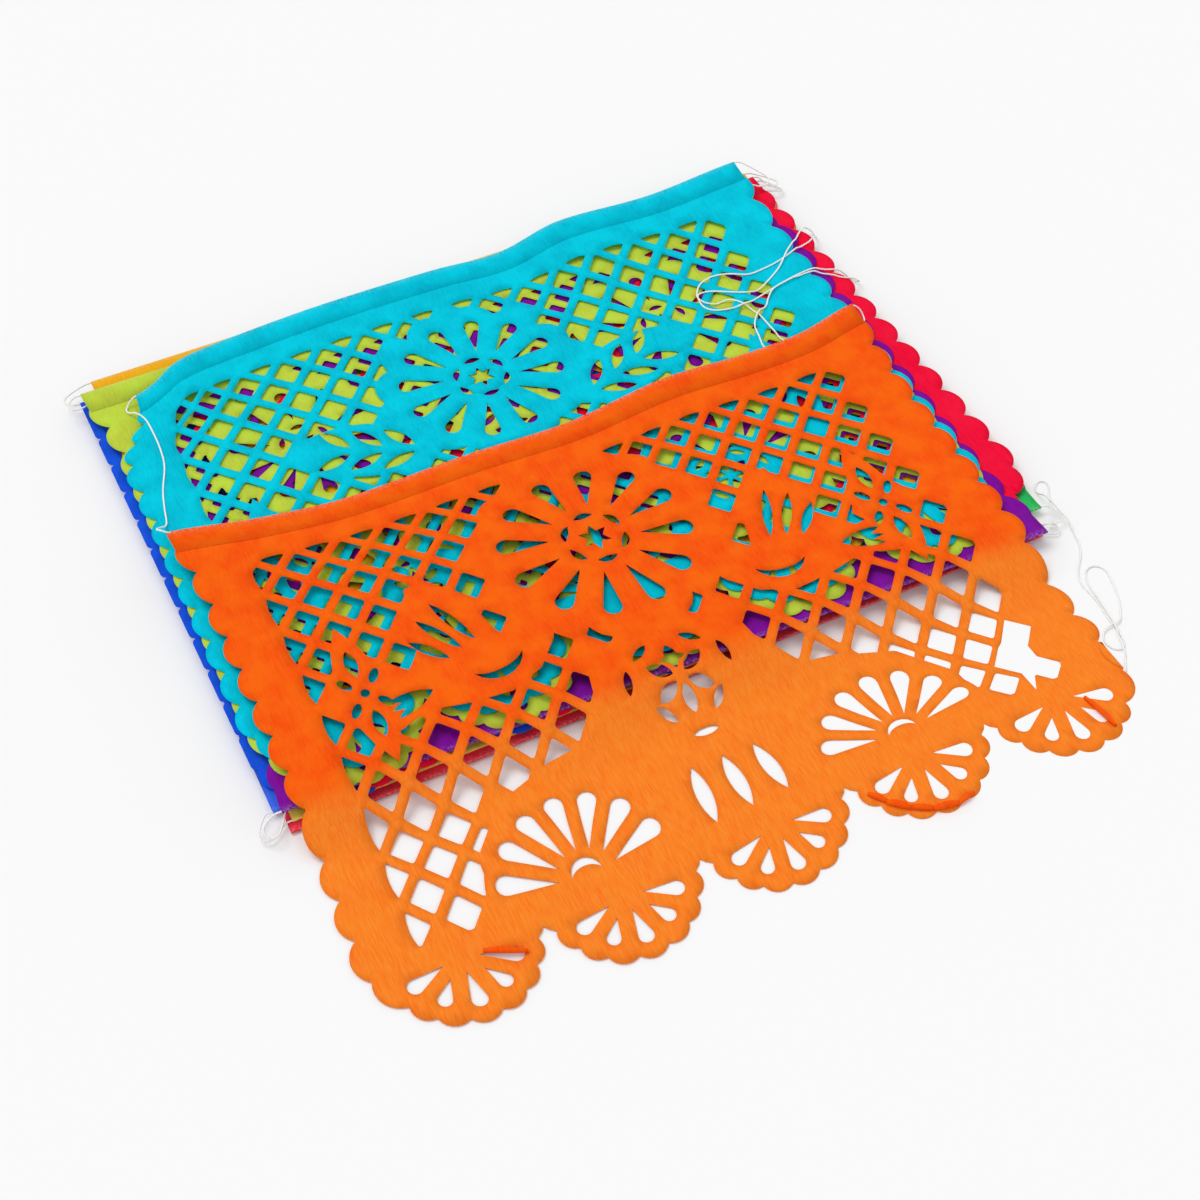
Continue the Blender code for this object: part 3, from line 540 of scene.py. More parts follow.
def big_flower(petals, radius, steps):
    """A large bloom: scalloped rim, a petal slit in each lobe, a ring and a star in the eye."""
    slits = []
    for i in range(petals):
        a = 2 * pi * (i + 0.5) / petals
        petal = teardrop((0, 0.40 * radius), (0, 0.80 * radius), 0.085 * radius, steps)
        slits.append(shift(petal, 0, 0, a - pi / 2))
    for i in range(petals // 2):
        a = 4 * pi * i / petals
        slits.append(shift(crescent(0.27 * radius, 0.36, 0.07 * radius, steps), 0, 0, a))
    slits.append(star(0.15 * radius, 6, 0.5))
    return [lobed(radius, petals, 0.32, steps)], slits


def heart(width, steps):
    """A heart of whole paper: a ring of dashes round a small flower."""
    rim, slits = [], []
    count = 10 * steps
    for i in range(count):
        t = 2 * pi * i / count
        x = 16 * sin(t) ** 3
        y = 13 * cos(t) - 5 * cos(2 * t) - 2 * cos(3 * t) - cos(4 * t)
        rim.append((x * width / 32, y * width / 32))
        if i % steps == steps // 2:
            dash = shift(leaf(0.17 * width, 0.06 * width, steps), 0, -0.085 * width)
            slits.append(shift(dash, 0.74 * x * width / 32, 0.74 * y * width / 32, atan2(y, x)))
    for i in range(6):
        petal = shift(leaf(0.19 * width, 0.09 * width, steps), 0, 0.05 * width)
        slits.append(shift(petal, 0, 0.03 * width, pi * i / 3))
    return [rim], slits


def dove(size, steps):
    """A bird in flight to the right, seen from its side, with feathers cut in wing and tail."""
    rim = [(44, 6), (37, 13), (29, 14), (22, 9), (14, 9), (12, 26), (3, 42), (-9, 53), (-11, 44), (-18, 42),
           (-16, 33), (-23, 30), (-19, 21), (-24, 16), (-17, 7), (-31, 6), (-49, 11), (-46, 3), (-53, -2),
           (-46, -6), (-49, -13), (-31, -9), (-14, -15), (4, -19), (20, -15), (32, -5), (38, 3)]
    slits = []
    for x, y, length, turn in ((4, 12, 28, 0.28), (-3, 11, 25, 0.42), (-10, 9, 20, 0.6)):
        slits.append(shift(leaf(length, 4.6, steps), x, y, turn))
    for turn in (1.38, 1.62, 1.86):
        slits.append(shift(leaf(20, 4.4, steps), -24, -1, turn))
    slits.append(shift(crescent(15, 0.9, 4.4, steps), 6, 6, pi))
    scale = size / 97
    return ([rounded([(scale * x, scale * y) for x, y in rim], 5 * MM, 3)],
            [[(scale * x, scale * y) for x, y in p] for p in slits])


def fan(radius, blades, steps):
    """A half bloom that stands on the line y = 0, with long blades cut in it."""
    count = 4 * steps
    rim = [(radius * cos(pi * i / count), radius * sin(pi * i / count))
           for i in range(count + 1)]
    slits = []
    for i in range(blades):
        a = pi * ((i + 0.5) / blades - 0.5) * 0.94
        blade = teardrop((0, 0.30 * radius), (0, 0.80 * radius), 0.098 * radius, steps)
        slits.append(shift(blade, 0, 0.02 * radius, a))
    slits.append(shift(crescent(0.17 * radius, 1.2, 0.08 * radius, steps), 0, 0.04 * radius))
    return [rim], slits


def side_leaf(length, steps):
    """A broad leaf of whole paper with a row of slits on each side of its midrib."""
    slits = []
    for i in range(3):
        blade = leaf(0.24 * length, 0.075 * length, steps)
        for side in (1, -1):
            slits.append(shift(blade, side * 0.03 * length, (0.2 + 0.2 * i) * length, -side * 0.62))
    return [leaf(length, 0.46 * length, 2 * steps)], slits


def place(shape, x, y, turn=0.0, mirror=False):
    """The shape set in the field; x and y are in mm on the field as it was drawn."""
    solids, slits = shape
    share = (FIELD_BOTTOM - FIELD_TOP) / (DRAWN_HEIGHT * MM)
    size = min(1.0, share)
    at = (x * MM, (y + DRAWN_FOOT) * MM * share - FIELD_BOTTOM)
    return tuple([shift([(size * u, size * v) for u, v in p], *at, turn, mirror) for p in shapes]
                 for shapes in (solids, slits))


def blank(points):
    """Whole paper that stands in the lattice behind a drawing of slits."""
    return [rounded([(x * MM, y * MM) for x, y in points], 6 * MM, 4)], []


def blade_row(count, steps):
    """Upright blades in a row."""
    spread = [k - (count - 1) / 2 for k in range(count)]
    return [], [shift(leaf(34 * MM, 9 * MM, steps), 22 * k * MM, 0, 0.1 * k) for k in spread]


def dove_motifs(steps):
    """A bloom over a heart in the middle, a dove over a fan on each side of them."""
    hill = [(-148, -8), (148, -8), (144, 32), (122, 58), (88, 68), (54, 72), (44, 118),
            (-44, 118), (-54, 72), (-88, 68), (-122, 58), (-144, 32)]
    groups = [
        place(blank(hill), -4, -294),
        place(big_flower(12, 66 * MM, steps), -4, -103),
        place(heart(80 * MM, steps), -4, -212),
        place(blade_row(3, steps), -4, -292),
    ]
    for side in (-1, 1):
        groups.append(place(fan(54 * MM, 7, steps), -4 + 96 * side, -294))
        groups.append(place(dove(128 * MM, steps), -4 + 97 * side, -160, 0.12, side > 0))
        groups.append(place(lattice_flower(steps), -2 + 165 * side, -150 + 2 * side))
    return groups


def worn_dove_motifs(steps):
    """The same, with a torn hole."""
    torn = [(x * MM, y * MM) for x, y in TORN_HOLE]
    return dove_motifs(steps) + [([], [torn])]


def leaf_motifs(steps):
    """A bloom between two broad leaves, over a fan between two hearts."""
    return [
        place(big_flower(12, 58 * MM, steps), -6, -104),
        place(side_leaf(96 * MM, steps), -48, -150, 1.2),
        place(side_leaf(96 * MM, steps), 36, -150, -1.2),
        place(lattice_flower(steps), -167, -190),
        place(lattice_flower(steps), 160, -190),
        place(fan(64 * MM, 9, steps), -6, -294),
        place(heart(62 * MM, steps), -104, -246),
        place(heart(62 * MM, steps), 92, -246),
    ]


def bloom_motifs(steps):
    """Four blooms round a heart."""
    groups = [place(heart(74 * MM, steps), 0, -150)]
    for x, y in ((-122, -98), (122, -98), (-104, -228), (104, -228)):
        groups.append(place(big_flower(10, 52 * MM, steps), x, y))
    return groups + [place(blade_row(3, steps), 0, -292)]


STENCILS = {"doves": dove_motifs, "leaves": leaf_motifs, "blooms": bloom_motifs,
            "worn doves": worn_dove_motifs}


def hem_profile(radius, on_top):
    """The folded sheet seen along the string: (distance along the sheet, y, z), y = 0 at the string."""
    centre = radius if on_top else 0.0
    path = [(-HEM_RAMP, 0.0), (-0.5 * HEM_RAMP, (centre - radius) * 0.5), (0.0, centre - radius)]
    for i in range(1, 9):
        a = -pi / 2 + pi * i / 8
        path.append((radius * cos(a), centre + radius * sin(a)))
    path += [(-0.5 * HEM_RAMP, FLAP_REST + 0.5 * (centre + radius - FLAP_REST)),
             (-HEM_RAMP, FLAP_REST), (-HEM_RAMP - FLAP, FLAP_REST)]
    distance, out = -HEM_RAMP, []
    for i, (y, z) in enumerate(path):
        if i:
            distance += dist(path[i - 1], (y, z))
        out.append((distance, y, z))
    return out


def folded(profile, distance):
    """The place (y, z) of a point of the opened sheet once its hem is folded."""
    if distance <= profile[0][0]:
        return distance, 0.0
    for (d0, y0, z0), (d1, y1, z1) in zip(profile, profile[1:]):
        if distance <= d1 + 1e-7:
            t = (distance - d0) / (d1 - d0)
            return y0 + t * (y1 - y0), z0 + t * (z1 - z0)
    return profile[-1][1:]


def triangles_of(points, edges, faces, inside):
    """Constrained triangulation: vertices, triangles and the input faces that each lies in."""
    found = delaunay_2d_cdt([Vector(p) for p in points], edges, faces, inside, 1e-7)
    return found[0], found[2], found[5]


def cut_paper(outline, solids, slits, cells):
    """The outline less the slits and less the lattice cells of the field that no solid covers."""
    shapes = [outline, *solids, *slits, *cells]
    points, faces = [], []
    for shape in shapes:
        shape = shape if area(shape) > 0 else shape[::-1]
        faces.append(list(range(len(points), len(points) + len(shape))))
        points += shape
    first_slit, first_cell = 1 + len(solids), 1 + len(solids) + len(slits)
    verts, tris, owners = triangles_of(points, [], faces, 1)
    open_area, open_tris, kept = {}, [], []
    for tri, owner in zip(tris, map(set, owners)):
        if 0 not in owner or any(first_slit <= i < first_cell for i in owner):
            continue
        cell = [i for i in owner if i >= first_cell]
        if cell and not any(1 <= i < first_slit for i in owner):
            open_tris.append((tri, cell[0]))
            open_area[cell[0]] = open_area.get(cell[0], 0.0) + abs(area([verts[i] for i in tri]))
        else:
            kept.append(tri)
    full = 2 * (CELL_WIDTH / 2 - STRIP / 2) * (CELL_HEIGHT / 2 - STRIP / 2)
    kept += [tri for tri, cell in open_tris if open_area[cell] < LEAST_CELL * full]
    return verts, kept


def bendable(verts, tris, lines, spacing, clear):
    """The same sheet, cut again so that it can bend: creases, and inner points at a spacing."""
    count = {}
    for tri in tris:
        for a, b in zip(tri, tri[1:] + tri[:1]):
            key = (min(a, b), max(a, b))
            count[key] = count.get(key, 0) + 1
    rim = [key for key, n in count.items() if n == 1]
    used = sorted({i for key in rim for i in key})
    number = {old: new for new, old in enumerate(used)}
    points = [tuple(verts[i]) for i in used]
    edges = [(number[a], number[b]) for a, b in rim]
    for p, q in lines:
        edges.append((len(points), len(points) + 1))
        points += [p, q]
    paper = BVHTree.FromPolygons([(v[0], v[1], 0.0) for v in verts], tris)
    near = KDTree(len(points))
    for i, p in enumerate(points):
        near.insert((p[0], p[1], 0.0), i)
    near.balance()
    half, rows = int(PANEL_WIDTH / 2 / spacing), int(PANEL_LENGTH / spacing)
    for i in range(-half, half + 1):
        for j in range(1, rows + 1):
            p = (i * spacing, -HEM_RAMP - j * spacing, 0.0)
            if near.find(p)[2] > clear and paper.ray_cast((p[0], p[1], 1), (0, 0, -1))[0]:
                points.append(p[:2])
    flat, cut, _ = triangles_of(points, edges, [], 0)
    kept = []
    for tri in cut:
        x = sum(flat[i][0] for i in tri) / 3
        y = sum(flat[i][1] for i in tri) / 3
        small = abs(area([flat[i] for i in tri])) < 1e-12
        if not small and paper.ray_cast((x, y, 1), (0, 0, -1))[0]:
            kept.append(tri)
    return [tuple(p) for p in flat], kept


FLAT_SHEETS = {}


def flat_sheet(stencil, spacing):
    """The cut sheet before it is folded, made once for each stencil."""
    if stencil not in FLAT_SHEETS:
        profile = hem_profile(HEM_RADIUS, False)
        groups = STENCILS[stencil](8)
        solids = [p for g in groups for p in g[0]]
        slits = [p for g in groups for p in g[1]] + tab_petals(10)
        outline = panel_outline(12, 8, profile[-1][0])
        verts, tris = cut_paper(outline, solids, slits, lattice())
        hem_x = PANEL_WIDTH / 2 - HEM_SETBACK
        lines = [((-hem_x, d), (hem_x, d)) for d, _, _ in profile[:-1]]
        for i in range(-int(hem_x / HEM_GRID), int(hem_x / HEM_GRID) + 1):
            lines.append(((i * HEM_GRID, -HEM_RAMP), (i * HEM_GRID, profile[-1][0])))
        if stencil == "worn doves":
            lines += [((p[0] * MM, p[1] * MM), (q[0] * MM, q[1] * MM)) for p, q, _ in FOLDED_RIMS]
        FLAT_SHEETS[stencil] = bendable(verts, tris, lines, spacing, 0.4 * spacing)
    return FLAT_SHEETS[stencil]


def smooth(t):
    t = min(1.0, max(0.0, t))
    return t * t * (3 - 2 * t)


def along(shape, x):
    """The pull and the lift of a hem at x, read from its list by a smooth line."""
    x = x / MM
    if x <= shape[0][0]:
        return shape[0][1] * MM, shape[0][2] * MM
    for i in range(1, len(shape)):
        if x <= shape[i][0]:
            before, after = shape[max(0, i - 2)], shape[min(len(shape) - 1, i + 1)]
            (x0, *a), (x1, *b) = shape[i - 1], shape[i]
            t = (x - x0) / (x1 - x0)
            out = []
            for k in range(2):
                m0 = (b[k] - before[k + 1]) / 2
                m1 = (after[k + 1] - a[k]) / 2
                out.append((2 * t ** 3 - 3 * t * t + 1) * a[k] + (t ** 3 - 2 * t * t + t) * m0
                           + (3 * t * t - 2 * t ** 3) * b[k] + (t ** 3 - t * t) * m1)
            return out[0] * MM, out[1] * MM
    return shape[-1][1] * MM, shape[-1][2] * MM


def level(index):
    """Height of a sheet's middle in the stack."""
    if index == 0:
        return BOTTOM_LEVEL
    height = FIRST_LEVEL + (index - 1) * LEVEL
    return height + TOP_LIFT if index == TOP else height


def hem_middle(index):
    """Middle of a hem, on the table's plane."""
    _, side, (x, y), _, _ = PANELS[index]
    edge = SQUARE_BACK_Y if side == BACK else SQUARE_FRONT_Y
    pull = TOP_PULL if index == TOP else 0.0
    dx, dy, _ = SLIPPED.get(PANELS[index][0], (0, 0, 0))
    return (x + dx) * MM + STACK_SHIFT_X, (y + dy) * MM + edge - pull + STACK_SHIFT_Y


def ripple(x, y, seed):
    """A smooth wave over a sheet, from -1 to 1."""
    broad = sin(x / 0.047 + 1.7 * seed) * sin(y / 0.062 + 2.3 * seed)
    slant = sin((x + 0.6 * y) / 0.026 + 4.1 * seed)
    return 0.65 * broad + 0.35 * slant


def bent_in(index, x):
    """Across a sheet, whose scallops at one side may be bent in along a straight line."""
    line = BENT_EDGE.get(PANELS[index][0], 0.0)
    return line if line * (x - line) > 0 else x


def rim_folded(x, y):
    """The flat sheet's point after its rims are folded over, and its height over the sheet."""
    for (px, py), (qx, qy), (left, right, low, high) in FOLDED_RIMS:
        if left < x / MM < right and low < y / MM < high:
            away = Vector((py - qy, qx - px)).normalized()
            depth = (x / MM - px) * away.x + (y / MM - py) * away.y
            if depth < 0:
                return x - 2 * depth * away.x * MM, y - 2 * depth * away.y * MM, RIM_GAP
    return x, y, 0.0


def laid(index, x, y, z):
    """The place of a point of a folded panel on the stack or the table."""
    name, side, _, turn, _ = PANELS[index]
    x = bent_in(index, x)
    x *= 1 - (1 - DRAW_IN.get(name, 1.0)) * smooth(-y / DRAW_REACH)
    if index == TOP:
        x, y, over = rim_folded(x, y)
        z += over
        x *= 1 - TOP_WAIST * smooth(-y / DRAW_REACH) * smooth((WAIST_END + y) / WAIST_REACH)
    fade = 1 - smooth(-y / HEM_SHAPE_REACH)
    flat_hem = smooth((-y - HEM_RAMP) / RIPPLE_RAMP)
    amount = {TOP: TOP_RIPPLE, SECOND: SECOND_RIPPLE}.get(index, STACK_RIPPLE if index else 0.0)
    lift = amount * flat_hem * ripple(x, y, index)
    if index in (TOP, SECOND):
        pull, up = along(TOP_HEM_SHAPE if index == TOP else SECOND_HEM_SHAPE, x)
        if index == SECOND:
            x += SECOND_CORNER_PULL * smooth(-(x + CORNER_START) / CORNER_REACH) * fade
        else:
            row, _ = along(TAB_ROW_SHAPE, x)
            lift += TOP_FLOAT * flat_hem * smooth((FLOAT_START - x) / FLOAT_REACH)
            y += row * smooth((-y - TAB_ROW_START) / TAB_ROW_REACH)
            x = x * TOP_DRAW_IN + TOP_DRAW_SHIFT
        y += pull * fade
        lift += up * fade
    turn += SLIPPED.get(name, (0, 0, 0))[2]
    a = radians(turn if side == BACK else turn + 180)
    mid_x, mid_y = hem_middle(index)
    px = mid_x + cos(a) * x - sin(a) * y
    py = mid_y + sin(a) * x + cos(a) * y
    if index == TOP:
        down = smooth((DROP_START_Y - py) / (DROP_START_Y - DROP_END_Y))
        on_table = BOTTOM_LEVEL + z + abs(lift) * TABLE_LIFT
        return px, py, (level(index) + z + lift) * (1 - down) + on_table * down
    return px, py, level(index) + z + lift


def sheet_radius(index):
    return LOOSE_RADIUS if index in (TOP, SECOND) else HEM_RADIUS


def roll_of_paper(p, q, radius):
    """Points and faces of a strip rolled up on the top sheet, thinner towards its ends."""
    axis = (Vector(q) - Vector(p)).normalized()
    corners, faces = [], []
    for i in range(ROLL_STEPS + 1):
        t = i / ROLL_STEPS
        size = radius * MM * (0.35 + 0.65 * sin(pi * (0.12 + 0.76 * t)))
        for k in range(ROLL_SIDES + 1):
            a = 2 * pi * ROLL_TURNS * k / ROLL_SIDES + 0.5 * t
            r = size * (1 - 0.4 * k / ROLL_SIDES)
            across = r * sin(a)
            x = (p[0] + (q[0] - p[0]) * t) * MM + across * -axis.y
            y = (p[1] + (q[1] - p[1]) * t) * MM + across * axis.x
            corners.append(laid(TOP, x, y, size - r * cos(a) + PAPER))
    row = ROLL_SIDES + 1
    for i in range(ROLL_STEPS):
        for k in range(ROLL_SIDES):
            a = i * row + k
            faces.append((a, a + 1, a + 1 + row, a + row))
    return corners, faces


def build_sheet(index, spacing, material):
    """One panel as a piece: cut, folded and laid, still without the thickness of tissue."""
    name = PANELS[index][0]
    cuts = [d for d, _, _ in hem_profile(HEM_RADIUS, False)]
    profile = [(d, y, z) for d, (_, y, z) in zip(cuts, hem_profile(sheet_radius(index), index == 0))]
    flat, tris = flat_sheet(PANELS[index][4], spacing)
    mesh = bpy.data.meshes.new("sheet_" + name)
    corners, fold, over_table = [], [], []
    for x, d in flat:
        y, z = folded(profile, d)
        p = laid(index, x, y, z)
        corners.append(p)
        fold.append(max(0.0, 1 - abs(d) / WORN_REACH))
        # Painted light mask: 1 where the top sheet lies on the white table, where its colour is painted
        # paler
        over_table.append(smooth((DROP_START_Y - p[1]) / TABLE_LIGHT_PAINT_REACH) if index == TOP else 0.0)
    if index == TOP:
        for roll in ROLLS:
            points, faces = roll_of_paper(*roll)
            tris = list(tris) + [tuple(len(corners) + i for i in face) for face in faces]
            corners += points
            fold += [0.0] * len(points)
            over_table += [0.0] * len(points)
    mesh.from_pydata(corners, [], tris)
    mesh.validate()
    for mark, values in (("worn_fold", fold), ("over_table", over_table)):
        mesh.attributes.new(mark, "FLOAT", "POINT").data.foreach_set("value", values)
    bm = bmesh.new()
    bm.from_mesh(mesh)
    bmesh.ops.delete(bm, geom=[v for v in bm.verts if not v.link_faces], context="VERTS")
    for face in bm.faces:
        face.smooth = True
    bm.to_mesh(mesh)
    bm.free()
    mesh.materials.append(material)
    return put("sheet_" + name, mesh)


def flat_area(index, spacing):
    flat, tris = flat_sheet(PANELS[index][4], spacing)
    return sum(abs(area([flat[i] for i in tri])) for tri in tris)


def declare_sheet(piece, index, spacing):
    solid = piece.modifiers.new("paper thickness", "SOLIDIFY")
    solid.thickness = PAPER
    solid.offset = 0
    name = PANELS[index][0]
    flat_area(index, spacing)
    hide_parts("panel_" + name)
    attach(piece, "root")


def put(name, data):
    """A new object in the scene."""
    thing = bpy.data.objects.new(name, data)
    bpy.context.scene.collection.objects.link(thing)
    return thing


def add(tree, kind, inputs, **settings):
    """The outputs of a new node; each of its inputs is linked to a socket or set to a value."""
    made = tree.nodes.new(kind)
    for name, value in settings.items():
        setattr(made, name, value)
    for key, value in inputs.items():
        if isinstance(value, bpy.types.NodeSocket):
            tree.links.new(value, made.inputs[key])
        else:
            made.inputs[key].default_value = value
    return made.outputs


def maths(tree, operation, one, two):
    return add(tree, "ShaderNodeMath", {0: one, 1: two}, operation=operation)[0]


def mix_colour(tree, factor, one, two):
    return add(tree, "ShaderNodeMix", {0: factor, 6: one, 7: two}, data_type="RGBA")[2]


def remap(tree, value, low, high, to_low=0.0, to_high=1.0):
    return add(tree, "ShaderNodeMapRange", {"Value": value, "From Min": low, "From Max": high,
                                            "To Min": to_low, "To Max": to_high})["Result"]


def noise(tree, where, scale, detail, place_at=(0, 0, 0), stretch=(1, 1, 1), turn=0.0):
    mapped = add(tree, "ShaderNodeMapping", {"Vector": where, "Location": place_at,
                                             "Rotation": (0, 0, turn), "Scale": stretch})[0]
    return add(tree, "ShaderNodeTexNoise", {"Vector": mapped, "Scale": scale, "Detail": detail})["Fac"]


def bumped(tree, shader, height, strength, distance):
    bump = add(tree, "ShaderNodeBump", {"Height": height, "Strength": strength, "Distance": distance})
    tree.links.new(bump["Normal"], shader.inputs["Normal"])


def new_material(name, roughness, specular):
    """A material, its tree and its main shader."""
    material = bpy.data.materials.new(name)
    material.use_nodes = True
    tree = material.node_tree
    shader = tree.nodes["Principled BSDF"]
    shader.inputs["Roughness"].default_value = roughness
    shader.inputs["Specular IOR Level"].default_value = specular
    return material, tree, shader


def shade(colour, times, plus=(0, 0, 0)):
    """A shade of the colour, channel by channel."""
    return (*(min(1, c * t + p) for c, t, p in zip(colour, times, plus)), 1)


def tissue(name, colour, through, seed):
    """Dyed tissue paper: cloudy dye, fine fibres, pale worn fold, light let through; on the top sheet,
    painted light: a paler colour where it lies over the white table.
    """
    material, tree, shader = new_material("dyed_tissue_" + name, 0.9, 0.06)
    where = add(tree, "ShaderNodeTexCoord", {})["Object"]
    offset = (0.37 * seed, 0.61 * seed, 0)
    deep = shade(colour, (0.97, DEEP_GREEN.get(name, 0.9), 0.9))
    light = shade(colour, (1.03, 1.1, 1.05), (0, 0.006, 0))
    streak = shade(colour, (1.05, 1.3, 1.2), (0.004, 0.02, 0.01))
    clouds = remap(tree, noise(tree, where, 60, 7, offset), 0.38, 0.62)
    fibres = remap(tree, noise(tree, where, 1, 3, offset, FIBRE_STRETCH, FIBRE_TURN), 0.34, 0.66)
    specks = remap(tree, noise(tree, where, 1700, 2, offset), 0.3, 0.7)
    base = mix_colour(tree, clouds, deep, light)
    base = mix_colour(tree, remap(tree, fibres, 0, 1, 0.0, 0.45), base, streak)
    base = mix_colour(tree, remap(tree, specks, 0, 1, 0.10, 0.0), base,
                      shade(colour, (0.92, 0.6, 0.75)))
    # Painted light: over the white table the top sheet is painted paler and yellower, standing in for light
    # that the table sends up through the tissue
    if name == "orange":
        pale = add(tree, "ShaderNodeAttribute", {}, attribute_name="over_table")["Fac"]
        lit = mix_colour(tree, fibres, (1.0, 0.26, 0.018, 1), (1.0, 0.37, 0.045, 1))
        base = mix_colour(tree, remap(tree, pale, 0, 1, 0, 0.6), base, lit)
    fold = add(tree, "ShaderNodeAttribute", {}, attribute_name="worn_fold")["Fac"]
    flecks = maths(tree, "MULTIPLY", fold, remap(tree, noise(tree, where, 700, 4, offset), 0.42, 0.6))
    worn = mix_colour(tree, remap(tree, flecks, 0.0, 1.0, 0.0, 0.55), base,
                      shade(colour, (0.5, 0.5, 0.5), (0.45, 0.47, 0.47)))
    tree.links.new(worn, shader.inputs["Base Color"])
    crinkle = maths(tree, "ADD", remap(tree, fibres, 0, 1, 0.0, 0.25), noise(tree, where, 110, 3, offset))
    bumped(tree, shader, crinkle, 0.35, 0.25 * MM)
    glow = add(tree, "ShaderNodeBsdfTranslucent", {"Color": worn})[0]
    mix = add(tree, "ShaderNodeMixShader", {0: min(1.0, through * THROUGH.get(name, 1.0)),
                                            1: shader.outputs[0], 2: glow})[0]
    tree.links.new(mix, tree.nodes["Material Output"].inputs["Surface"])
    return material


def cotton_material(colour):
    material, tree, shader = new_material("twisted_cotton", 0.95, 0.2)
    where = add(tree, "ShaderNodeTexCoord", {})["Object"]
    lint = remap(tree, noise(tree, where, 900, 3), 0.35, 0.65)
    tree.links.new(mix_colour(tree, lint, shade(colour, (0.97, 0.97, 0.96)), (*colour, 1)),
                   shader.inputs["Base Color"])
    bumped(tree, shader, noise(tree, where, 2600, 2), 0.25, 0.1 * MM)
    return material


def hem_run(index, from_right):
    """The string's points through one hem, from end to end, in the middle of its tunnel."""
    end = PANEL_WIDTH / 2 - HEM_SETBACK
    steps = 30 if index in (TOP, SECOND) else 8
    height = sheet_radius(index) if index == 0 else 0.0
    run = [Vector(laid(index, -end + 2 * end * i / steps, 0.0, height)) for i in range(steps + 1)]
    return run[::-1] if (run[0].x < run[-1].x) == from_right else run


def even_line(points, spacing):
    """Points at an even spacing on a smooth line through the given ones, seen from above."""
    ends = [2 * points[0] - points[1]] + points + [2 * points[-1] - points[-2]]
    fine = []
    for a, b, c, d in zip(ends, ends[1:], ends[2:], ends[3:]):
        for i in range(8):
            t = i / 8
            fine.append(0.5 * (2 * b + (c - a) * t + (2 * a - 5 * b + 4 * c - d) * t * t
                               + (3 * b - 3 * c + d - a) * t ** 3))
    fine.append(points[-1])
    return even_steps(fine, spacing)


def even_steps(fine, spacing):
    """Points at an even spacing along straight pieces."""
    length = sum((q - p).length for p, q in zip(fine, fine[1:]))
    count = max(2, round(length / spacing))
    out, walked, wanted = [fine[0].copy()], 0.0, 1
    for p, q in zip(fine, fine[1:]):
        step = (q - p).length
        while wanted < count and walked + step >= wanted * length / count:
            out.append(p.lerp(q, (wanted * length / count - walked) / step))
            wanted += 1
        walked += step
    return out + [fine[-1].copy()]


def softened(points):
    """The same line with its tight corners opened, as a soft string bends."""
    out = even_steps(points, SOFT_STEP)
    for _ in range(SOFT_ROUNDS):
        near = set()
        for i, (p, q, r) in enumerate(zip(out, out[1:], out[2:])):
            if min((q - p).length, (r - q).length) < SOFT_BEND * (q - p).angle(r - q):
                near.update(range(max(1, i - 2), min(len(out) - 1, i + 5)))
        if not near:
            break
        moved = {i: (out[i - 1] + 2 * out[i] + out[i + 1]) / 4 for i in near}
        out = even_steps([moved.get(i, point) for i, point in enumerate(out)], SOFT_STEP)
    return out


def rest_height(paper, p, q):
    """Middle of a string that rests on the paper or the table all the way from p to q."""
    height = TABLE_GAP
    for i in range(REST_STEPS + 1):
        middle = p.lerp(q, i / REST_STEPS)
        for dx, dy in ((0, 0), (1, 0), (-1, 0), (0, 1), (0, -1)):
            for sheet in paper:
                side = (middle.x + dx * STRING / 2, middle.y + dy * STRING / 2, 1)
                hit = sheet.ray_cast(side, (0, 0, -1))[0]
                if hit:
                    height = max(height, hit.z + PAPER / 2 + STRING_GAP)
    return height + STRING / 2


def height_over(strands, place_at):
    """Least height at a place for a string that crosses the strands there."""
    flat = place_at.xy
    height = 0.0
    for p, q in strands:
        way = q.xy - p.xy
        t = min(1.0, max(0.0, (flat - p.xy).dot(way) / max(way.length_squared, 1e-12)))
        if (flat - p.xy - t * way).length < STRING + STRING_GAP:
            height = max(height, p.z + t * (q.z - p.z) + STRING + STRING_GAP)
    return height


def settled(points, paper, strands, free=False):
    """A loose stretch from a fixed point, laid on paper, table and the strands below it."""
    out = [p.copy() for p in points]
    loose = range(1, len(out) if free else len(out) - 1)
    for i, (p, q) in enumerate(zip(points, points[1:])):
        height = rest_height(paper, p, q)
        for k in (i, i + 1):
            if k in loose:
                out[k].z = max(out[k].z, height)
    skip = 1 + int(OWN_REACH / (points[1] - points[0]).length)
    for _ in range(SETTLE_ROUNDS):
        for i in range(len(out) - 1):
            own = list(zip(out[:max(0, i - skip)], out[1:max(1, i - skip + 1)]))
            for k in range(REST_STEPS + 1):
                height = height_over(strands + own, out[i].lerp(out[i + 1], k / REST_STEPS))
                for m in (i, i + 1):
                    if m in loose:
                        out[m].z = max(out[m].z, height)
        for order in (loose, loose[::-1]):
            for i in order:
                other = out[i - order.step] if 0 <= i - order.step < len(out) else out[i]
                fall = STRING_FALL * (out[i].xy - other.xy).length
                out[i].z = max(out[i].z, other.z - fall)
    return out


def routed(start, route, spacing, end=None):
    """A loose stretch over its route, which starts from the mouth of a hem."""
    points = [start] + [Vector((start.x + x * MM, start.y + y * MM, 0)) for x, y in route]
    return even_line(points + ([end] if end else []), spacing)


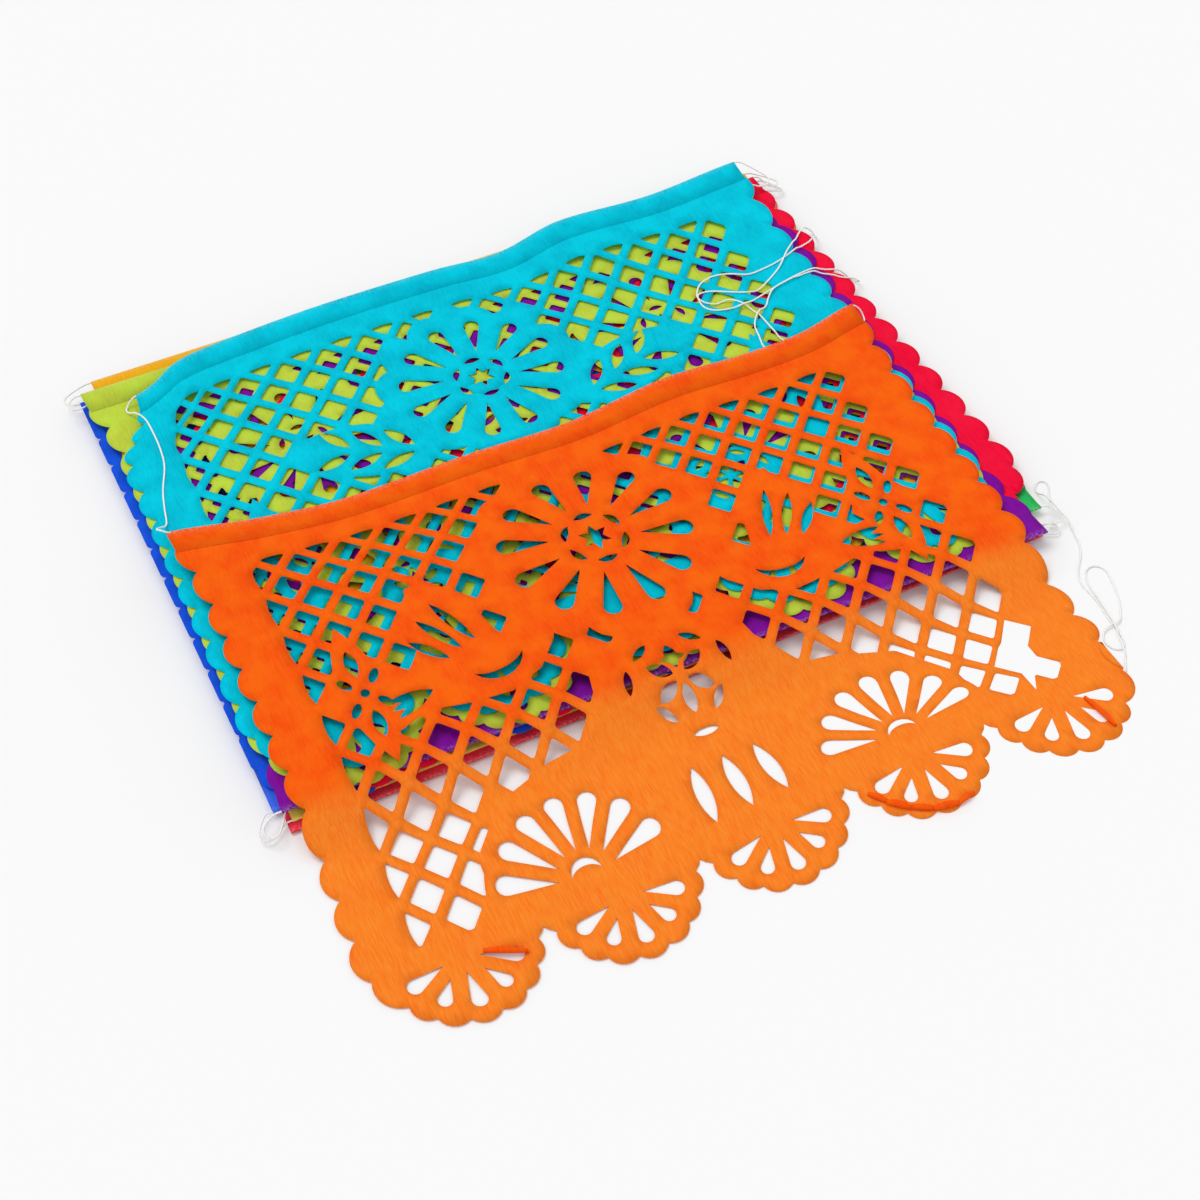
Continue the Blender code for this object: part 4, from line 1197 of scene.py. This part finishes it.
def link(start, end, side, reach, droop):
    """A loop from one mouth to another at the same side; it leaves and enters along the hems."""
    lead = Vector((side * MOUTH_LEAD, 0, 0))
    out = max(side * start.x, side * end.x) + MOUTH_LEAD
    tip = Vector((side * (out + reach * MM), (start.y + end.y) / 2 - droop * MM, (start.z + end.z) / 2))
    root = (start + end) / 2 + lead
    way = Vector((tip.x - root.x, tip.y - root.y, 0)).normalized()
    across = Vector((-way.y, way.x, 0)) * LOOP_RADIUS
    if (start - end).dot(across) < 0:
        across = -across
    bends = [tip - LOOP_RADIUS * way + across, tip - LOOP_RADIUS * way - across]
    for bend, share in zip(bends, (0.2, 0.8)):
        bend.z = start.z + share * (end.z - start.z)
    return even_line([start, start + lead, bends[0], tip, bends[1], end + lead, end], LINK_STEP)


def through_hems(order, links, strands):
    """The string's points through several hems and their links, from the first one's left mouth."""
    points, from_right = [], False
    for index, loop in zip(order, [None] + links):
        run = hem_run(index, from_right)
        if points:
            bend = settled(link(points[-1], run[0], 1 if from_right else -1, *loop), [], strands)
            strands += list(zip(bend, bend[1:]))
            points += bend[1:-1]
        points += run
        from_right = not from_right
    return points


def twist_tree():
    """Geometry nodes: a line becomes a string of three plies twisted round each other."""
    tree = bpy.data.node_groups.new("twisted string", "GeometryNodeTree")
    for name, kind in (("Geometry", "Geometry"), ("Diameter", "Float"), ("Step", "Float"),
                       ("Twist Length", "Float"), ("Material", "Material")):
        tree.interface.new_socket(name, in_out="INPUT", socket_type="NodeSocket" + kind)
    tree.interface.new_socket("Geometry", in_out="OUTPUT", socket_type="NodeSocketGeometry")
    given = add(tree, "NodeGroupInput", {})

    line = add(tree, "GeometryNodeResampleCurve",
               {"Curve": given["Geometry"], "Length": given["Step"]}, mode="LENGTH")[0]
    length = add(tree, "GeometryNodeSplineParameter", {})["Length"]
    turns = maths(tree, "DIVIDE", length, given["Twist Length"])
    tilted = add(tree, "GeometryNodeSetCurveTilt",
                 {"Curve": line, "Tilt": maths(tree, "MULTIPLY", turns, 2 * pi)})[0]

    ring = add(tree, "GeometryNodeCurvePrimitiveCircle",
               {"Resolution": 3 * PLIES, "Radius": maths(tree, "MULTIPLY", given["Diameter"], 0.5)})[0]
    lobe = maths(tree, "MODULO", add(tree, "GeometryNodeInputIndex", {})[0], PLIES)
    dent = remap(tree, lobe, 0.0, 1.0, PLY_DENT, PLY_CROWN)
    scaled = add(tree, "ShaderNodeVectorMath",
                 {0: add(tree, "GeometryNodeInputPosition", {})[0], "Scale": dent}, operation="SCALE")[0]
    plies = add(tree, "GeometryNodeSetPosition", {"Geometry": ring, "Position": scaled})[0]

    tube = add(tree, "GeometryNodeCurveToMesh",
               {"Curve": tilted, "Profile Curve": plies, "Fill Caps": True})[0]
    real = add(tree, "GeometryNodeRealizeInstances", {"Geometry": tube})[0]
    dressed = add(tree, "GeometryNodeSetMaterial", {"Geometry": real, "Material": given["Material"]})[0]
    add(tree, "NodeGroupOutput", {"Geometry": dressed})
    return tree


def build_string(name, points, twist, material):
    """A twisted string along the points, as a plain mesh."""
    curve = bpy.data.curves.new(name, "CURVE")
    curve.dimensions = "3D"
    line = curve.splines.new("POLY")
    line.points.add(len(points) - 1)
    for point, place_at in zip(line.points, points):
        point.co = (*place_at, 1.0)
    guide = put(name + "_guide", curve)
    modifier = guide.modifiers.new("twist", "NODES")
    modifier.node_group = twist_tree()
    values = {"Diameter": STRING, "Step": TWIST_STEP, "Twist Length": twist, "Material": material}
    for item in modifier.node_group.interface.items_tree:
        if item.item_type == "SOCKET" and item.in_out == "INPUT" and item.name in values:
            modifier[item.identifier] = values[item.name]
    graph = bpy.context.evaluated_depsgraph_get()
    mesh = bpy.data.meshes.new_from_object(guide.evaluated_get(graph), depsgraph=graph)
    bpy.data.objects.remove(guide, do_unlink=True)
    return put(name, mesh)


def declare_string(piece, node_name):
    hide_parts(node_name)
    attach(piece, "root")


def lay_sheets(scene, indices):
    """Build the panels with these numbers in the stack."""
    for index in indices:
        name = PANELS[index][0]
        colour = tuple(getattr(scene.banner_colours, name))
        material = tissue(name, colour, scene.banner_paper.through, index)
        piece = build_sheet(index, scene.banner_paper.grid, material)
        declare_sheet(piece, index, scene.banner_paper.grid)
    return {"FINISHED"}


class BANNER_OT_stack(bpy.types.Operator):
    """Build the ten panels of the stack"""

    bl_idname = "banner.stack"
    bl_label = "Stack of Panels"

    def execute(self, context):
        return lay_sheets(context.scene, range(SECOND))


class BANNER_OT_top_panels(bpy.types.Operator):
    """Build the second panel and the one pulled forward over it"""

    bl_idname = "banner.top_panels"
    bl_label = "Top Panels"

    def execute(self, context):
        return lay_sheets(context.scene, (SECOND, TOP))


class BANNER_OT_strings(bpy.types.Operator):
    """Lay the string through the hems and over the stack"""

    bl_idname = "banner.strings"
    bl_label = "Strings"

    def execute(self, context):
        colours, paper = context.scene.banner_colours, context.scene.banner_paper
        sheets = []
        for name, *_ in PANELS:
            data = bpy.data.objects["sheet_" + name].data
            corners = [v.co.copy() for v in data.vertices]
            sheets.append(BVHTree.FromPolygons(corners, [tuple(p.vertices) for p in data.polygons]))
        cotton = cotton_material(tuple(colours.cotton))
        strands = []
        back = through_hems(BACK_HEMS, BACK_LINKS, strands)
        front = through_hems(FRONT_HEMS, FRONT_LINKS, strands)
        under_tail = sheets[:FRONT_HEMS[-1] + 1] + sheets[TOP:]
        tail = settled(routed(front[-1], TAIL, LOOSE_STEP), under_tail, strands, free=True)
        strands += list(zip(tail, tail[1:]))
        top, second = hem_run(TOP, True), hem_run(SECOND, False)
        between = settled(routed(top[-1], LEFT_LINK, LINK_STEP, second[0]), sheets[:TOP], strands)
        leader = settled(routed(top[0], LEADER, LOOSE_STEP), sheets[:TOP], strands, free=True)
        bend = settled(link(back[-1], second[-1], 1, *TOP_LINK), sheets[:SECOND - 1], strands)
        back += bend[1:-1] + second[::-1] + between[-2:0:-1] + top[::-1] + leader[1:]
        for name, points in (("back", back), ("front", front + tail[1:])):
            points = softened(points)
            piece = build_string("cord_" + name, points, paper.twist, cotton)
            declare_string(piece, "string_" + name)
        return {"FINISHED"}


class BANNER_OT_stage(bpy.types.Operator):
    """Set the table, the light and the camera"""

    bl_idname = "banner.stage"
    bl_label = "Table, Light and Camera"

    def execute(self, context):
        scene, stage = context.scene, context.scene.banner_stage
        half = stage.floor_size / 2
        mesh = bpy.data.meshes.new("table_top")
        mesh.from_pydata([(-half, -half, 0), (half, -half, 0), (half, half, 0), (-half, half, 0)], [],
                         [(0, 1, 2, 3)])
        table = put("table_top", mesh)
        material, _, shader = new_material("pale_table", 0.9, 0.1)
        shader.inputs["Base Color"].default_value = (*stage.floor_colour, 1)
        mesh.materials.append(material)

        world = bpy.data.worlds.new("soft_light")
        world.use_nodes = True
        light = world.node_tree.nodes["Background"]
        light.inputs["Color"].default_value = (1, 1, 1, 1)
        light.inputs["Strength"].default_value = stage.sky
        scene.world = world
        sun = bpy.data.lights.new("key", "SUN")
        sun.energy = stage.sun
        sun.angle = radians(SUN_WIDTH)
        put("key", sun).rotation_euler = [radians(a) for a in SUN_TURN]

        elevation, azimuth, roll = (radians(a) for a in (CAMERA_ELEVATION, CAMERA_AZIMUTH, CAMERA_ROLL))
        back = Vector((sin(azimuth) * cos(elevation), -cos(azimuth) * cos(elevation),
                       sin(elevation)))
        right = (-back).cross(Vector((0, 0, 1))).normalized()
        up = right.cross(-back)
        right, up = (cos(roll) * right + sin(roll) * up,
                     cos(roll) * up - sin(roll) * right)
        view = Matrix((right, up, back)).transposed().to_4x4()
        view.translation = Vector(CAMERA_TARGET) + CAMERA_DISTANCE * back
        lens = bpy.data.cameras.new("camera")
        lens.lens = CAMERA_LENS
        lens.sensor_width = CAMERA_SENSOR
        scene.camera = put("camera", lens)
        scene.camera.matrix_world = view
        scene.view_settings.view_transform = "Standard"
        return {"FINISHED"}


class BANNER_PT_sidebar(bpy.types.Panel):
    """The banner's parts, sizes and colours"""

    bl_idname = "BANNER_PT_sidebar"
    bl_label = "Papel Picado Banner"
    bl_space_type = "VIEW_3D"
    bl_region_type = "UI"
    bl_category = "Banner"

    def draw(self, context):
        for step in STEPS:
            self.layout.operator(step.bl_idname)
        for name, group in GROUPS.items():
            box = self.layout.box()
            for value in group.__annotations__:
                box.prop(getattr(context.scene, name), value)


STEPS = (BANNER_OT_stage, BANNER_OT_stack, BANNER_OT_top_panels, BANNER_OT_strings)
GROUPS = {"banner_paper": BannerPaper, "banner_colours": BannerColours, "banner_stage": BannerStage}


def register():
    for group in (*GROUPS.values(), *STEPS, BANNER_PT_sidebar):
        bpy.utils.register_class(group)
    for name, group in GROUPS.items():
        setattr(bpy.types.Scene, name, PointerProperty(type=group))


def unregister():
    for name in GROUPS:
        delattr(bpy.types.Scene, name)
    for group in (BANNER_PT_sidebar, *reversed(STEPS), *GROUPS.values()):
        bpy.utils.unregister_class(group)


def main():
    register()
    bpy.ops.banner.stage()
    bpy.ops.banner.stack()
    bpy.ops.banner.top_panels()
    bpy.ops.banner.strings()


if __name__ == "__main__":
    main()
